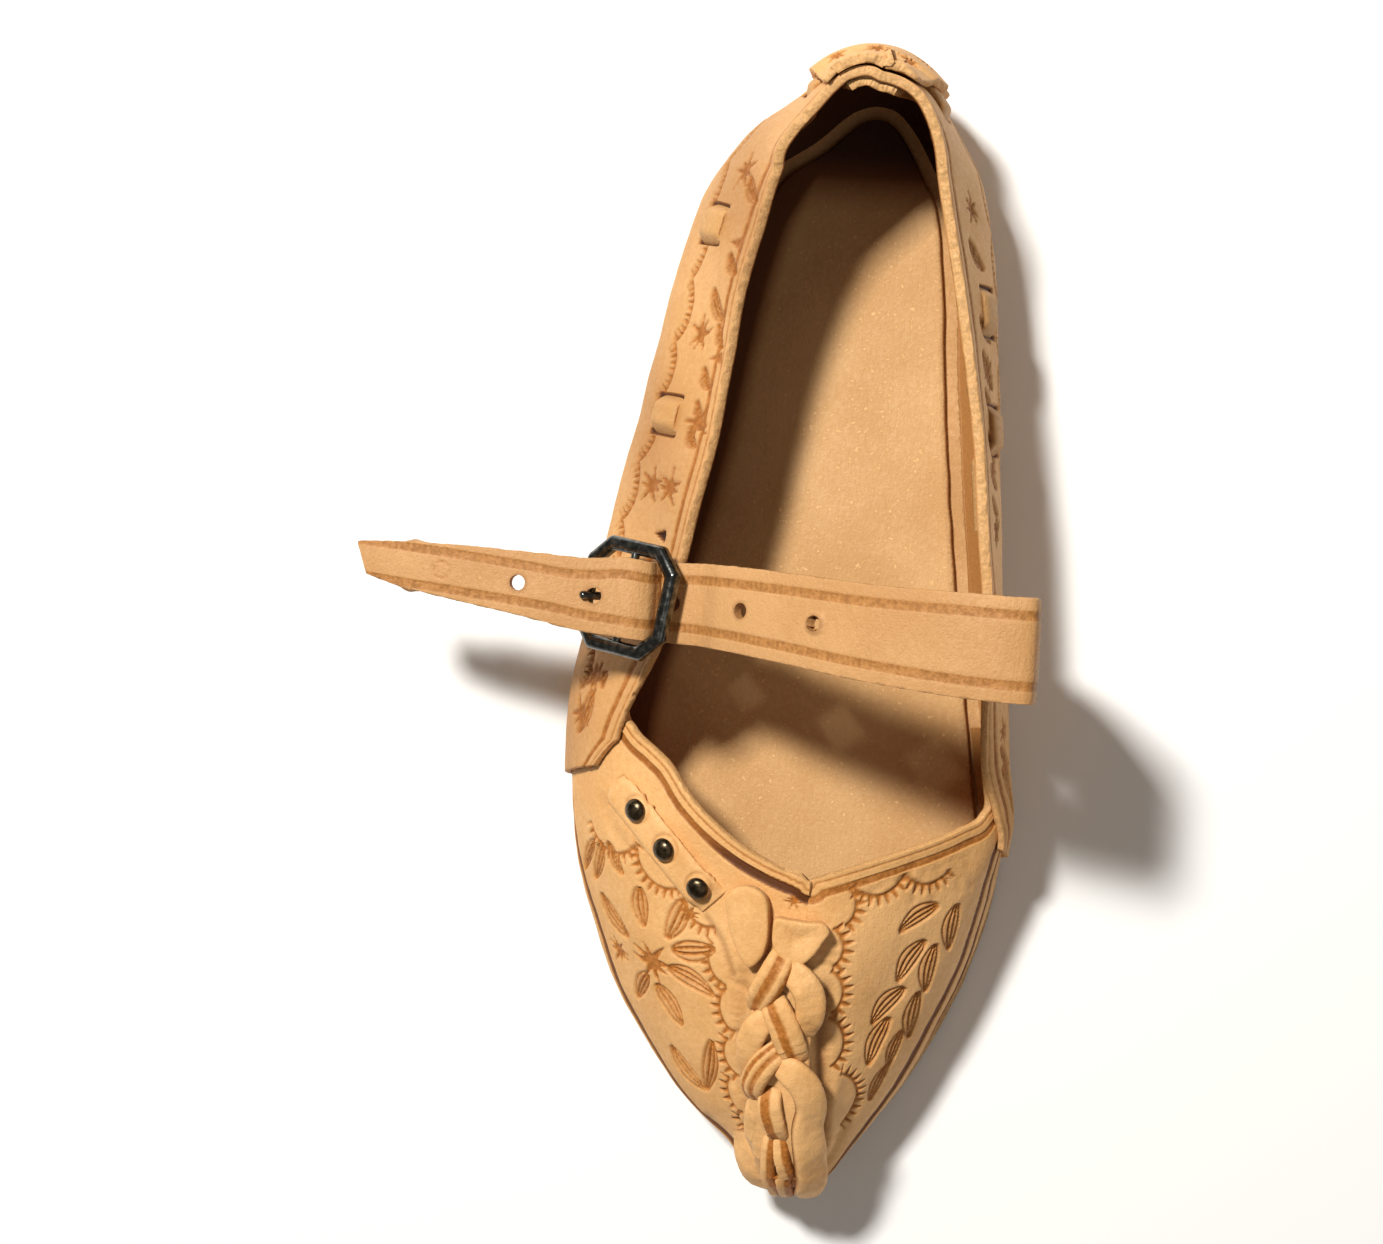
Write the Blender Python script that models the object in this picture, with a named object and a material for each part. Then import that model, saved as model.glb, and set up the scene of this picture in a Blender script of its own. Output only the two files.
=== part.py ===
"""Leather moccasin, right shoe: tooled folk moccasin with an ankle strap, a plaited toe
seam and a woven heel thong.

Frame: +Z up, floor at z = 0, toe towards -Y, outer side of the foot towards -X.
The origin is on the floor under the middle of the heel.
Lengths are in millimetres and become metres when a mesh is made.
"""

import math

import bmesh
import bpy
import numpy as np
from mathutils import Vector
from mathutils.bvhtree import BVHTree

MM = 0.001

# Driving sizes of the last
LENGTH = 243.0
BALL_WIDTH = 94.0
HEEL_HEIGHT = 50.0
INSTEP_HEIGHT = 40.0
HEEL_SET = 32.0
ARCH_RISE = 1.6
TOE_SPRING = 6.0

# Leather
UPPER_WALL = 1.8
QUARTER_LIFT = 1.6
QUARTER_WALL = 2.2
SOLE_THICKNESS = 3.0
INSOLE_THICKNESS = 1.8
STRAP_THICKNESS = 2.0
THONG_THICKNESS = 1.7
THONG_WIDTH = 9.0
PATCH_THICKNESS = 2.0
LAP_THICKNESS = 1.8
LAP_BITE = 0.4
SOLE_EDGE_ROUND = 0.6
INSOLE_EDGE_ROUND = 0.4
GAP = 0.3
SEAT = 0.45
STRIP_SEAT = 0.6

# Buckle, studs and plait
BUCKLE_BAR = 3.0
BUCKLE_THICKNESS = 2.4
BUCKLE_LENGTH = 24.0
BUCKLE_CORNER = 5.0
BUCKLE_CHAMFER = 0.7
BUCKLE_SLOPE = 31.0
BUCKLE_TURN = 9.0
BUCKLE_PLAY = 1.4
PIN_DIAMETER = 1.8
PRONG_DIAMETER = 1.8
PRONG_TIP_REACH = 3.2
TAB_WIDTH = 11.0
TAB_THICKNESS = 1.3
TAB_HEIGHT = 0.72
TAB_SLIT_HALF = (5.0, 4.0)
STRAP_CLEARANCE = 1.3
STRAP_WIDTH = 16.5
STRAP_HOLE = 3.2
HOLE_STEP = 15.6
STUD_DIAMETER = 4.6
STUD_HEIGHT = 1.5
STUD_STRIP_WIDTH = 7.0
STUD_STRIP_THICKNESS = 1.5
BRAID_WIDTH = 17.0
BRAID_HEIGHT = 4.2

# The last's wall, a row for each station round the shoe, from the toe back along the
# outer side, round the heel and forward along the inner side.
# along: share of LENGTH from the heel's back; across: share of BALL_WIDTH, outer side
# negative; bulge: height of the widest line over the sole, as a share of HEEL_HEIGHT;
# tuck: how far the feather edge turns in under the widest line; lean: how far the rim
# stands inside it; rim: height of the rim or shoulder; sole: how far the sole's edge
# stands inside it. Tuck, lean and sole are shares of BALL_WIDTH, rim is of HEEL_HEIGHT.
# Columns: along, across, bulge, tuck, lean, rim, sole
LAST = (
    (0.984, -0.004, 0.11, 0.020, 0.026, 0.22, 0.000),
    (0.974, -0.098, 0.12, 0.020, 0.040, 0.25, 0.000),
    (0.951, -0.145, 0.13, 0.022, 0.058, 0.30, -0.004),
    (0.930, -0.213, 0.14, 0.026, 0.085, 0.36, -0.008),
    (0.866, -0.361, 0.15, 0.034, 0.122, 0.44, -0.010),
    (0.781, -0.480, 0.16, 0.044, 0.144, 0.51, -0.008),
    (0.693, -0.549, 0.17, 0.056, 0.149, 0.55, 0.006),
    (0.605, -0.570, 0.19, 0.070, 0.145, 0.54, 0.020),
    (0.474, -0.519, 0.24, 0.085, 0.195, 0.68, 0.036),
    (0.329, -0.445, 0.27, 0.090, 0.197, 0.75, 0.043),
    (0.209, -0.389, 0.28, 0.085, 0.186, 0.78, 0.040),
    (0.122, -0.326, 0.28, 0.078, 0.170, 0.83, 0.034),
    (0.079, -0.259, 0.28, 0.072, 0.144, 0.87, 0.030),
    (0.042, -0.137, 0.28, 0.068, 0.090, 0.94, 0.028),
    (0.015, -0.049, 0.28, 0.064, 0.080, 0.98, 0.026),
    (0.007, 0.043, 0.28, 0.064, 0.077, 1.00, 0.026),
    (0.016, 0.109, 0.28, 0.064, 0.077, 0.99, 0.026),
    (0.042, 0.173, 0.28, 0.066, 0.045, 0.96, 0.028),
    (0.068, 0.217, 0.28, 0.070, 0.048, 0.92, 0.030),
    (0.105, 0.268, 0.28, 0.074, 0.072, 0.86, 0.034),
    (0.165, 0.300, 0.28, 0.080, 0.069, 0.81, 0.040),
    (0.276, 0.330, 0.27, 0.084, 0.044, 0.77, 0.043),
    (0.449, 0.369, 0.24, 0.068, 0.018, 0.72, 0.036),
    (0.605, 0.414, 0.19, 0.052, 0.045, 0.57, 0.018),
    (0.658, 0.428, 0.17, 0.046, 0.036, 0.50, 0.006),
    (0.713, 0.412, 0.16, 0.042, 0.072, 0.51, -0.004),
    (0.758, 0.384, 0.16, 0.038, 0.085, 0.50, -0.008),
    (0.849, 0.291, 0.15, 0.032, 0.090, 0.45, -0.010),
    (0.909, 0.202, 0.14, 0.026, 0.074, 0.38, -0.008),
    (0.948, 0.130, 0.13, 0.022, 0.053, 0.31, -0.004),
    (0.973, 0.086, 0.12, 0.020, 0.037, 0.25, 0.000),
)

# The crown of the last, where the vamp's two halves meet.
# Columns: along and across as shares of LENGTH and BALL_WIDTH, height over the sole as a
# share of INSTEP_HEIGHT
CROWN = (
    (0.00, 0.032, 1.70),
    (0.51, 0.032, 1.30),
    (0.62, 0.028, 1.13),
    (0.70, 0.021, 1.00),
    (0.78, 0.011, 0.94),
    (0.84, 0.000, 0.85),
    (0.90, -0.002, 0.71),
    (0.935, -0.003, 0.58),
    (0.960, -0.004, 0.45),
)
THROAT = 0.704
CROWN_END = 0.960

# Heights round the section: feather edge, widest line, rim, crown
FEATHER, BULGE, RIM, TOP = 0.0, 0.45, 1.0, 2.0

# Top edge of the vamp behind the throat, from under each flap to the throat's point.
# along: share of LENGTH; reach: height round the section
OUTER_ARM = ((0.53, 0.90), (0.56, 0.93), (0.585, 1.03), (0.605, 1.17), (0.622, 1.28),
             (0.645, 1.37), (0.667, 1.50), (0.685, 1.65), (0.696, 1.80), (THROAT, TOP))
INNER_ARM = ((0.57, 0.90), (0.62, 0.93), (0.641, 1.02), (0.655, 1.18), (0.673, 1.42),
             (0.688, 1.66), (0.698, 1.86), (THROAT, TOP))

# The quarter's top edge runs down along each flap to its cut end
OUTER_FLAP = ((0.555, 1.0), (0.600, 0.97), (0.627, 0.84))
INNER_FLAP = ((0.600, 1.0), (0.645, 0.95), (0.672, 0.84))
FLAP_SLANT = 4.6
FLAP_SLANT_REACH = 22.0

# Where the heel thong shows outside the quarter: first and last share of LENGTH
OUTER_TABS = ((0.128, 0.180), (0.298, 0.348))
INNER_TABS = ((0.196, 0.236), (0.296, 0.336))
THONG_HEIGHT = 0.70
THONG_RAMP = 4.6
THONG_HEEL = ((-1, 0.037), (1, 0.056))
THONG_OUTER_END = 0.425
THONG_INNER_END = 0.400

# Heel patch and the lapped end of the quarter inside it
PATCH_OUTER, PATCH_INNER = 0.026, 0.036
PATCH_LOW, PATCH_HIGH = 0.46, 1.015
LAP_OUTER, LAP_INNER = 0.016, 0.028
LAP_LOW, LAP_HIGH = 0.52, 0.985

# The ankle strap's middle line.
# Columns: across as a share of BALL_WIDTH, along of LENGTH, height over the sole's
# thickness of INSTEP_HEIGHT, width of STRAP_WIDTH
STRAP = (
    (0.302, 0.495, 0.60, 1.00),
    (0.330, 0.495, 0.69, 1.02),
    (0.392, 0.496, 0.80, 1.05),
    (0.438, 0.497, 1.05, 1.10),
    (0.456, 0.498, 1.40, 1.17),
    (0.464, 0.498, 1.70, 1.20),
    (0.463, 0.498, 1.79, 1.21),
    (0.448, 0.498, 1.855, 1.21),
    (0.420, 0.498, 1.860, 1.21),
    (0.340, 0.497, 1.83, 1.20),
    (0.141, 0.493, 1.66, 1.13),
    (-0.074, 0.485, 1.38, 1.06),
    (-0.200, 0.481, 1.17, 1.02),
    (-0.270, 0.480, 1.020, 1.00),
    (-0.316, 0.480, 0.990, 0.98),
    (-0.348, 0.480, 0.978, 0.96),
    (-0.372, 0.480, 1.012, 0.96),
    (-0.400, 0.480, 1.090, 0.96),
    (-0.423, 0.478, 1.112, 0.97),
    (-0.486, 0.478, 1.120, 0.95),
    (-0.638, 0.472, 1.104, 0.92),
    (-0.800, 0.466, 1.068, 0.82),
    (-0.920, 0.462, 1.032, 0.64),
    (-1.010, 0.459, 1.000, 0.42),
)
STRAP_OVER_PIN, STRAP_PRONG_HOLE = -0.423, -0.486
STRAP_HOLES_INNER, STRAP_HOLES_OUTER = 3, 1

# Places on the vamp: share of LENGTH, share of BALL_WIDTH
STUDS = ((0.658, -0.381), (0.689, -0.306), (0.718, -0.227))
STUD_STRIP_START = (0.638, -0.432)
STUD_STRIP_END = (0.730, -0.192)
BRAID_START, BRAID_FRONT = 0.782, 0.62

# Turned ends of the plait: along, across, half length, half width, heading, height
LOOP_OUTER = (0.743, -0.101, 9.5, 4.4, 18.0, 3.0)
LOOP_INNER = (0.755, 0.014, 5.2, 5.6, 0.0, 3.4)

# The plait's section: its rounded body and the strips that cross over it, in shares of
# its height and of half its width
BRAID_CROSSINGS = 7
BRAID_BODY, BRAID_STRIP = 0.45, 0.55
BRAID_OFFSET, BRAID_LEAN = 0.30, 0.55
BRAID_BASE, BRAID_TAPER = 0.7, 0.28

# Drawing steps
QUARTER_COLUMNS, QUARTER_ROWS = 70, 7
VAMP_BACK_COLUMNS, VAMP_FRONT_COLUMNS, VAMP_ROWS = 10, 14, 10
SOLE_ROWS = 44
STRAP_STEPS = 60
THONG_STEP, THONG_HEEL_STEP = 8.0, 3.6
LAP_STEPS, PATCH_STEPS = 14, 13
STRIP_STEPS, BRAID_STEPS, BRAID_WIDE_STEPS = 16, 36, 10


def smooth_rows(rows, closed, count, key_columns):
    """Points on a smooth curve through the table's rows, spaced by chord length."""
    rows = np.array(rows, float)
    if closed:
        rows = np.vstack((rows[-1:], rows, rows[:2]))
    else:
        rows = np.vstack((2 * rows[0] - rows[1], rows, 2 * rows[-1] - rows[-2]))
    chords = np.linalg.norm(np.diff(rows[:, key_columns], axis=0), axis=1)
    knots = np.concatenate(([0.0], np.cumsum(chords)))
    slopes = np.diff(rows, axis=0) / chords[:, None]
    before, after = chords[:-1, None], chords[1:, None]
    tangents = (slopes[:-1] * after + slopes[1:] * before) / (before + after)
    places = np.linspace(knots[1], knots[-2], count)
    index = np.clip(np.searchsorted(knots, places, side="right") - 1, 1, len(rows) - 3)
    span = chords[index][:, None]
    x = ((places - knots[index])[:, None]) / span
    start, end = rows[index], rows[index + 1]
    lead, trail = tangents[index - 1] * span, tangents[index] * span
    return ((2 * x**3 - 3 * x**2 + 1) * start + (x**3 - 2 * x**2 + x) * lead
            + (3 * x**2 - 2 * x**3) * end + (x**3 - x**2) * trail)


def sole_rise(along):
    """Height of the sole's underside: two flat treads, an arch and the toe spring."""
    share = np.asarray(along, float) / LENGTH
    arch = np.clip((share - 0.25) / (0.60 - 0.25), 0.0, 1.0)
    spring = np.clip((share - 0.755) / (1.0 - 0.755), 0.0, 1.0)
    return ARCH_RISE * np.sin(math.pi * arch) ** 2 + TOE_SPRING * spring**1.7


def sole_top(along):
    return sole_rise(along) + SOLE_THICKNESS


class Last:
    """The last's outline and sections, read from the two tables."""

    def __init__(self):
        ring = smooth_rows(LAST, True, 1401, [0, 1])
        along, across = ring[:, 0] * LENGTH, ring[:, 1] * BALL_WIDTH
        steps = np.hypot(np.gradient(along), np.gradient(across))
        tangent_along, tangent_across = np.gradient(along) / steps, np.gradient(across) / steps
        walk = np.concatenate(([0.0], np.cumsum(np.hypot(np.diff(along), np.diff(across)))))
        heel = np.argmin(along)
        self.walk = walk - walk[heel]
        self.along, self.across = along, across
        self.inward_along, self.inward_across = tangent_across, -tangent_along
        self.bulge = ring[:, 2] * HEEL_HEIGHT
        self.tuck = ring[:, 3] * BALL_WIDTH
        self.lean = ring[:, 4] * BALL_WIDTH
        self.rim = ring[:, 5] * HEEL_HEIGHT
        self.sole = ring[:, 6] * BALL_WIDTH
        self.heel = heel
        crown = smooth_rows(CROWN, False, 301, [0])
        self.crown = crown * (LENGTH, BALL_WIDTH, INSTEP_HEIGHT)

    def read(self, name, walk):
        return np.interp(walk, self.walk, getattr(self, name))

    def walk_at(self, side, share):
        """Distance round the outline from the heel to a share of the length."""
        along = np.asarray(share, float) * LENGTH
        if side < 0:
            part = slice(None, self.heel + 1)
            return np.interp(-along, -self.along[part], self.walk[part])
        part = slice(self.heel, None)
        return np.interp(along, self.along[part], self.walk[part])

    def plan(self, walk, inset):
        """A point inset from the widest line, seen from above."""
        along = self.read("along", walk) + self.read("inward_along", walk) * inset
        across = self.read("across", walk) + self.read("inward_across", walk) * inset
        return along, across

    def points(self, walk, height):
        """Points of the last's surface at walk and height, both arrays of one shape."""
        walk, height = np.broadcast_arrays(np.asarray(walk, float), np.asarray(height, float))
        along = self.read("along", walk)
        floor = sole_top(along) + GAP
        tuck, lean = self.read("tuck", walk), self.read("lean", walk)

        def knot(inset, high):
            place_along, place_across = self.plan(walk, inset)
            return np.stack((place_across, place_along, floor + high), axis=-1)

        zero = np.zeros_like(tuck)
        feather = knot(tuck, zero)
        under = knot(tuck * 2.0, zero)
        bulge = knot(zero, self.read("bulge", walk))
        rim = knot(lean, self.read("rim", walk))
        throat = THROAT * LENGTH
        stretch = (CROWN_END * LENGTH - throat) / (self.along.max() - throat)
        crown_along = np.where(along > throat, throat + (along - throat) * stretch, along)
        crown_across = np.interp(crown_along, self.crown[:, 0], self.crown[:, 1])
        crown_height = np.interp(crown_along, self.crown[:, 0], self.crown[:, 2])
        crown = np.stack((crown_across, crown_along, sole_top(crown_along) + crown_height), -1)
        straight = (rim - bulge) / (RIM - BULGE)
        rounded = (crown - bulge) / (TOP - BULGE)
        turn = np.clip((along / LENGTH - 0.45) / 0.17, 0.0, 1.0)[..., None]
        turn = turn * turn * (3 - 2 * turn)
        level = (crown - rim) * (1.0, 1.0, 0.0)
        tangents = (
            (bulge - under) / (BULGE * 2),
            (rim - feather) / (RIM - FEATHER),
            straight * (1 - turn) + rounded * turn,
            level,
        )
        knots = (feather, bulge, rim, crown)
        heights = (FEATHER, BULGE, RIM, TOP)
        result = np.zeros(walk.shape + (3,))
        for i in range(3):
            low, high = heights[i], heights[i + 1]
            x = ((height - low) / (high - low))[..., None]
            span = high - low
            curve = ((2 * x**3 - 3 * x**2 + 1) * knots[i]
                     + (x**3 - 2 * x**2 + x) * tangents[i] * span
                     + (3 * x**2 - 2 * x**3) * knots[i + 1]
                     + (x**3 - x**2) * tangents[i + 1] * span)
            inside = (height >= low) if i else (height < high)
            inside = inside[..., None]
            result = np.where(inside, curve, result)
        return result

    def lifted(self, walk, height, lift):
        """The surface moved out by lift, and never down into the sole."""
        walk, height = np.broadcast_arrays(np.asarray(walk, float), np.asarray(height, float))
        step_walk, step_height = 0.4, 0.01
        places = self.points(walk, height)
        round_step = self.points(walk + step_walk, height) - self.points(walk - step_walk, height)
        up_step = (self.points(walk, height + step_height)
                   - self.points(walk, height - step_height))
        normal = np.cross(round_step, up_step)
        normal /= np.linalg.norm(normal, axis=-1)[..., None]
        lift = np.broadcast_to(np.asarray(lift, float), walk.shape)
        moved = places + normal * lift[..., None]
        moved[..., 2] = np.maximum(moved[..., 2], sole_top(moved[..., 1]) + GAP)
        return moved


LAST_FORM = Last()


def place(points):
    """From across, along, height in millimetres to x, y, z in metres."""
    points = np.asarray(points, float)
    return np.stack((points[..., 0], HEEL_SET - points[..., 1], points[..., 2]), -1) * MM


def material(name, colour, roughness, metallic=0.0):
    made = bpy.data.materials.new(name)
    made.use_nodes = True
    shader = made.node_tree.nodes["Principled BSDF"]
    shader.inputs["Base Color"].default_value = (*colour, 1.0)
    shader.inputs["Roughness"].default_value = roughness
    shader.inputs["Metallic"].default_value = metallic
    return made


def new_object(name, bm, finish, smooth_angle=35.0):
    """Put a closed mesh in the scene with its faces outward and its curves smooth."""
    bmesh.ops.recalc_face_normals(bm, faces=bm.faces)
    bmesh.ops.triangulate(bm, faces=[face for face in bm.faces if len(face.verts) > 4])
    mesh = bpy.data.meshes.new(name)
    bm.to_mesh(mesh)
    bm.free()
    mesh.shade_smooth()
    mesh.set_sharp_from_angle(angle=math.radians(smooth_angle))
    made = bpy.data.objects.new(name, mesh)
    bpy.context.collection.objects.link(made)
    if finish:
        made.data.materials.append(finish)
    return made


def cutter(made):
    made.hide_render = True
    made.display_type = "WIRE"
    return made


def boolean(target, tool, operation):
    modifier = target.modifiers.new(tool.name, "BOOLEAN")
    modifier.operation = operation
    modifier.solver = "EXACT"
    modifier.object = tool


def shell_mesh(outer, inner, closed=False):
    """A closed body between two grids of points of one size, with walls at the edges.
    A closed grid joins its last row of points to its first."""
    bm = bmesh.new()
    layers = [[[bm.verts.new(Vector(p)) for p in row] for row in place(grid)]
              for grid in (outer, inner)]
    rows, columns = len(layers[0]), len(layers[0][0])
    row_pairs = [(i, (i + 1) % rows) for i in range(rows if closed else rows - 1)]
    for grid in layers:
        for i, k in row_pairs:
            for j in range(columns - 1):
                bm.faces.new((grid[i][j], grid[i][j + 1], grid[k][j + 1], grid[k][j]))
    top, bottom = layers
    for i, k in row_pairs:
        for j in (0, columns - 1):
            bm.faces.new((top[i][j], top[k][j], bottom[k][j], bottom[i][j]))
    if not closed:
        for i in (0, rows - 1):
            for j in range(columns - 1):
                bm.faces.new((top[i][j], top[i][j + 1], bottom[i][j + 1], bottom[i][j]))
    return bm


def wall_band(walks, heights, outer_lift, inner_lift):
    """A closed strip lying on the last's wall between two distances from it."""
    walk, height = np.meshgrid(walks, heights, indexing="ij")
    outer_lift = np.broadcast_to(np.asarray(outer_lift, float)[..., None], walk.shape)
    inner_lift = np.broadcast_to(np.asarray(inner_lift, float)[..., None], walk.shape)
    return shell_mesh(LAST_FORM.lifted(walk, height, outer_lift),
                      LAST_FORM.lifted(walk, height, inner_lift))


def ribbon_mesh(centre, side, width, thickness):
    """A flat strip along a line of centre points, with its width along side."""
    centre, side = np.asarray(centre, float), np.asarray(side, float)
    runs = np.diff(centre, axis=0)
    runs /= np.linalg.norm(runs, axis=1)[:, None]
    forward = np.vstack((runs[:1], runs[:-1] + runs[1:], runs[-1:]))
    forward /= np.linalg.norm(forward, axis=1)[:, None]
    across = side - forward * np.sum(side * forward, axis=1)[:, None]
    across /= np.linalg.norm(across, axis=1)[:, None]
    mitre = np.ones(len(centre))
    mitre[1:-1] = np.sum(forward[1:-1] * runs[1:], axis=1)
    up = np.cross(forward, across) / np.maximum(mitre, 0.7)[:, None]
    width = np.broadcast_to(np.asarray(width, float), len(centre))
    grids = []
    for face in (0.5, -0.5):
        columns = [centre + across * (width * share)[:, None] + up * thickness * face
                   for share in (-0.5, 0.0, 0.5)]
        grids.append(np.stack(columns, axis=1))
    return shell_mesh(*grids)


def make_quarter(finish):
    """The wall round the heel, with a flap lying over the vamp on each side."""
    form = LAST_FORM
    start, end = form.walk_at(-1, OUTER_FLAP[-1][0]), form.walk_at(1, INNER_FLAP[-1][0])
    walks = np.linspace(start, end, QUARTER_COLUMNS)
    share = form.read("along", walks) / LENGTH
    outer = np.interp(share, *zip(*OUTER_FLAP))
    inner = np.interp(share, *zip(*INNER_FLAP))
    top = np.where(walks < 0, outer, inner)
    rows = np.linspace(0.0, 1.0, QUARTER_ROWS + 1)
    height = top[:, None] * rows[None, :]
    near_end = np.minimum(walks - start, end - walks)
    slant = FLAP_SLANT * np.clip(1 - near_end / FLAP_SLANT_REACH, 0, 1) ** 1.5
    walk = walks[:, None] + (np.sign(walks) * slant)[:, None] * (1 - rows[None, :])
    outside = form.lifted(walk, height, QUARTER_LIFT)
    inside = form.lifted(walk, height, QUARTER_LIFT - QUARTER_WALL)
    return new_object("upper", shell_mesh(outside, inside), finish)


def vamp_surface():
    """The vamp's outer face as one sheet, both halves joined along the crown and toe."""
    form = LAST_FORM
    turn = np.linspace(0.0, 1.0, VAMP_FRONT_COLUMNS)
    front_end = form.along.max() / LENGTH
    front = THROAT + (front_end - THROAT) * np.sin(turn * math.pi / 2)
    rows = np.linspace(0.0, 1.0, VAMP_ROWS + 1)
    bm = bmesh.new()
    for side, arm in ((-1, OUTER_ARM), (1, INNER_ARM)):
        back = np.linspace(arm[0][0], THROAT, VAMP_BACK_COLUMNS)[:-1]
        shares = np.concatenate((back, front))
        reach = np.interp(shares, *zip(*arm))
        walks = form.walk_at(side, shares)
        if side > 0:
            walks[-1] = form.walk[-1]
        else:
            walks[-1] = form.walk[0]
        walk = np.broadcast_to(walks[:, None], (len(shares), len(rows)))
        grid = place(form.lifted(walk, reach[:, None] * rows[None, :], 0.0))
        verts = [[bm.verts.new(Vector(p)) for p in row] for row in grid]
        for i in range(len(shares) - 1):
            for j in range(len(rows) - 1):
                quad = (verts[i][j], verts[i + 1][j], verts[i + 1][j + 1], verts[i][j + 1])
                bm.faces.new(quad if side < 0 else quad[::-1])
    bmesh.ops.remove_doubles(bm, verts=bm.verts, dist=0.02 * MM)
    bmesh.ops.recalc_face_normals(bm, faces=bm.faces)
    return bm


def make_vamp():
    surface = vamp_surface()
    lowest = min(surface.faces, key=lambda face: face.calc_center_median().z)
    if lowest.normal.z > 0:
        bmesh.ops.reverse_faces(surface, faces=surface.faces)
    tree = BVHTree.FromBMesh(surface)
    mesh = bpy.data.meshes.new("vamp")
    surface.to_mesh(mesh)
    surface.free()
    vamp = bpy.data.objects.new("vamp", mesh)
    bpy.context.collection.objects.link(vamp)
    wall = vamp.modifiers.new("wall", "SOLIDIFY")
    wall.thickness = UPPER_WALL * MM
    wall.offset = -1.0
    wall.use_even_offset = True
    return cutter(vamp), tree


def thong_route():
    """Distance round the heel and lift from the last's wall of the woven thong."""
    form = LAST_FORM
    outside = QUARTER_LIFT + SEAT + THONG_THICKNESS / 2
    inside = QUARTER_LIFT - QUARTER_WALL - SEAT - THONG_THICKNESS / 2
    spans = [sorted(form.walk_at(-1, np.array(tab))) for tab in OUTER_TABS]
    spans += [sorted(form.walk_at(1, np.array(tab))) for tab in INNER_TABS]
    heel_span = [form.walk_at(side, share) for side, share in THONG_HEEL]
    spans.append(heel_span)
    spans.sort(key=lambda span: span[0])
    start = form.walk_at(-1, THONG_OUTER_END)
    end = form.walk_at(1, THONG_INNER_END)
    crossings = [edge for span in spans for edge in span]
    kept = [float(start), float(end)]
    for edge in crossings:
        kept += [edge + THONG_RAMP * step for step in (-0.5, -0.18, 0.18, 0.5)]
    between = list(np.arange(heel_span[0], heel_span[1], THONG_HEEL_STEP))
    between += list(np.arange(start, end, THONG_STEP))
    for walk in between:
        if min(abs(walk - other) for other in kept) > THONG_HEEL_STEP / 2:
            kept.append(walk)
    walks = np.array(sorted(kept))
    share = np.zeros_like(walks)
    for low, high in spans:
        rise = np.clip((walks - low) / THONG_RAMP + 0.5, 0, 1)
        fall = np.clip((high - walks) / THONG_RAMP + 0.5, 0, 1)
        share = np.maximum(share, np.minimum(rise, fall))
    share = share * share * (3 - 2 * share)
    return walks, inside + (outside - inside) * share, crossings


def thong_band(walks, lift, extra):
    form = LAST_FORM
    middle = form.points(walks, np.full_like(walks, THONG_HEIGHT))
    above = form.points(walks, np.full_like(walks, THONG_HEIGHT + 0.1))
    per_height = np.linalg.norm(above - middle, axis=1) / 0.1
    reach = (THONG_WIDTH / 2 + extra) / per_height
    walk = np.repeat(walks[:, None], 2, axis=1)
    height = THONG_HEIGHT + reach[:, None] * np.array((-1.0, 1.0))[None, :]
    half = THONG_THICKNESS / 2 + extra
    return shell_mesh(form.lifted(walk, height, (lift + half)[:, None]),
                      form.lifted(walk, height, (lift - half)[:, None]))


def sole_body(name, inset_of, low_of, high_of, edge, finish):
    """A flat leather piece cut to the last's plan, bent along the sole's line."""
    form = LAST_FORM
    along, across = form.plan(form.walk, inset_of(form))
    outer, inner = slice(None, form.heel + 1), slice(form.heel, None)
    back, front = along.min() + 0.15, along.max() - 0.15
    turn = np.linspace(0.0, math.pi, SOLE_ROWS)
    rows = back + (front - back) * (1 - np.cos(turn)) / 2
    flats = np.array((0.25, 0.60, 0.755)) * LENGTH
    for flat in flats:
        rows[np.argmin(np.abs(rows - flat))] = flat
    order = np.argsort(along[outer])
    left = np.interp(rows, along[outer][order], across[outer][order])
    order = np.argsort(along[inner])
    right = np.interp(rows, along[inner][order], across[inner][order])
    low, high = low_of(rows), high_of(rows)
    bevel = np.minimum(edge, (right - left) / 4)
    ring = (
        (left + bevel, low), (left, low + edge), (left, high - edge), (left + bevel, high),
        (right - bevel, high), (right, high - edge), (right, low + edge), (right - bevel, low),
    )
    points = np.stack([np.stack((x, rows, z), -1) for x, z in ring], axis=1)
    bm = bmesh.new()
    verts = [[bm.verts.new(Vector(p)) for p in row] for row in place(points)]
    sides = len(ring)
    for i in range(len(rows) - 1):
        for j in range(sides):
            k = (j + 1) % sides
            bm.faces.new((verts[i][j], verts[i][k], verts[i + 1][k], verts[i + 1][j]))
    bm.faces.new(verts[0])
    bm.faces.new(verts[-1])
    return new_object(name, bm, finish)


def strap_line(count):
    rows = smooth_rows(STRAP, False, count, [0, 2])
    centre = np.stack((rows[:, 0] * BALL_WIDTH, rows[:, 1] * LENGTH,
                       rows[:, 2] * INSTEP_HEIGHT + SOLE_THICKNESS), -1)
    return centre, rows[:, 3] * STRAP_WIDTH


def strap_mesh(extra, first=0, last=None):
    centre, width = strap_line(STRAP_STEPS)
    centre, width = centre[first:last], width[first:last]
    side = np.tile((0.0, 1.0, 0.0), (len(centre), 1))
    return ribbon_mesh(centre, side, width + 2 * extra, STRAP_THICKNESS + 2 * extra)


def strap_place(across):
    """A point of the strap's long run over the foot, at a share of the ball width."""
    centre, _ = strap_line(400)
    flat = centre[np.argmax(centre[:, 0]):]
    order = np.argsort(flat[:, 0])
    x = across * BALL_WIDTH
    return np.array([np.interp(x, flat[order, 0], flat[order, i]) for i in range(3)])


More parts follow.
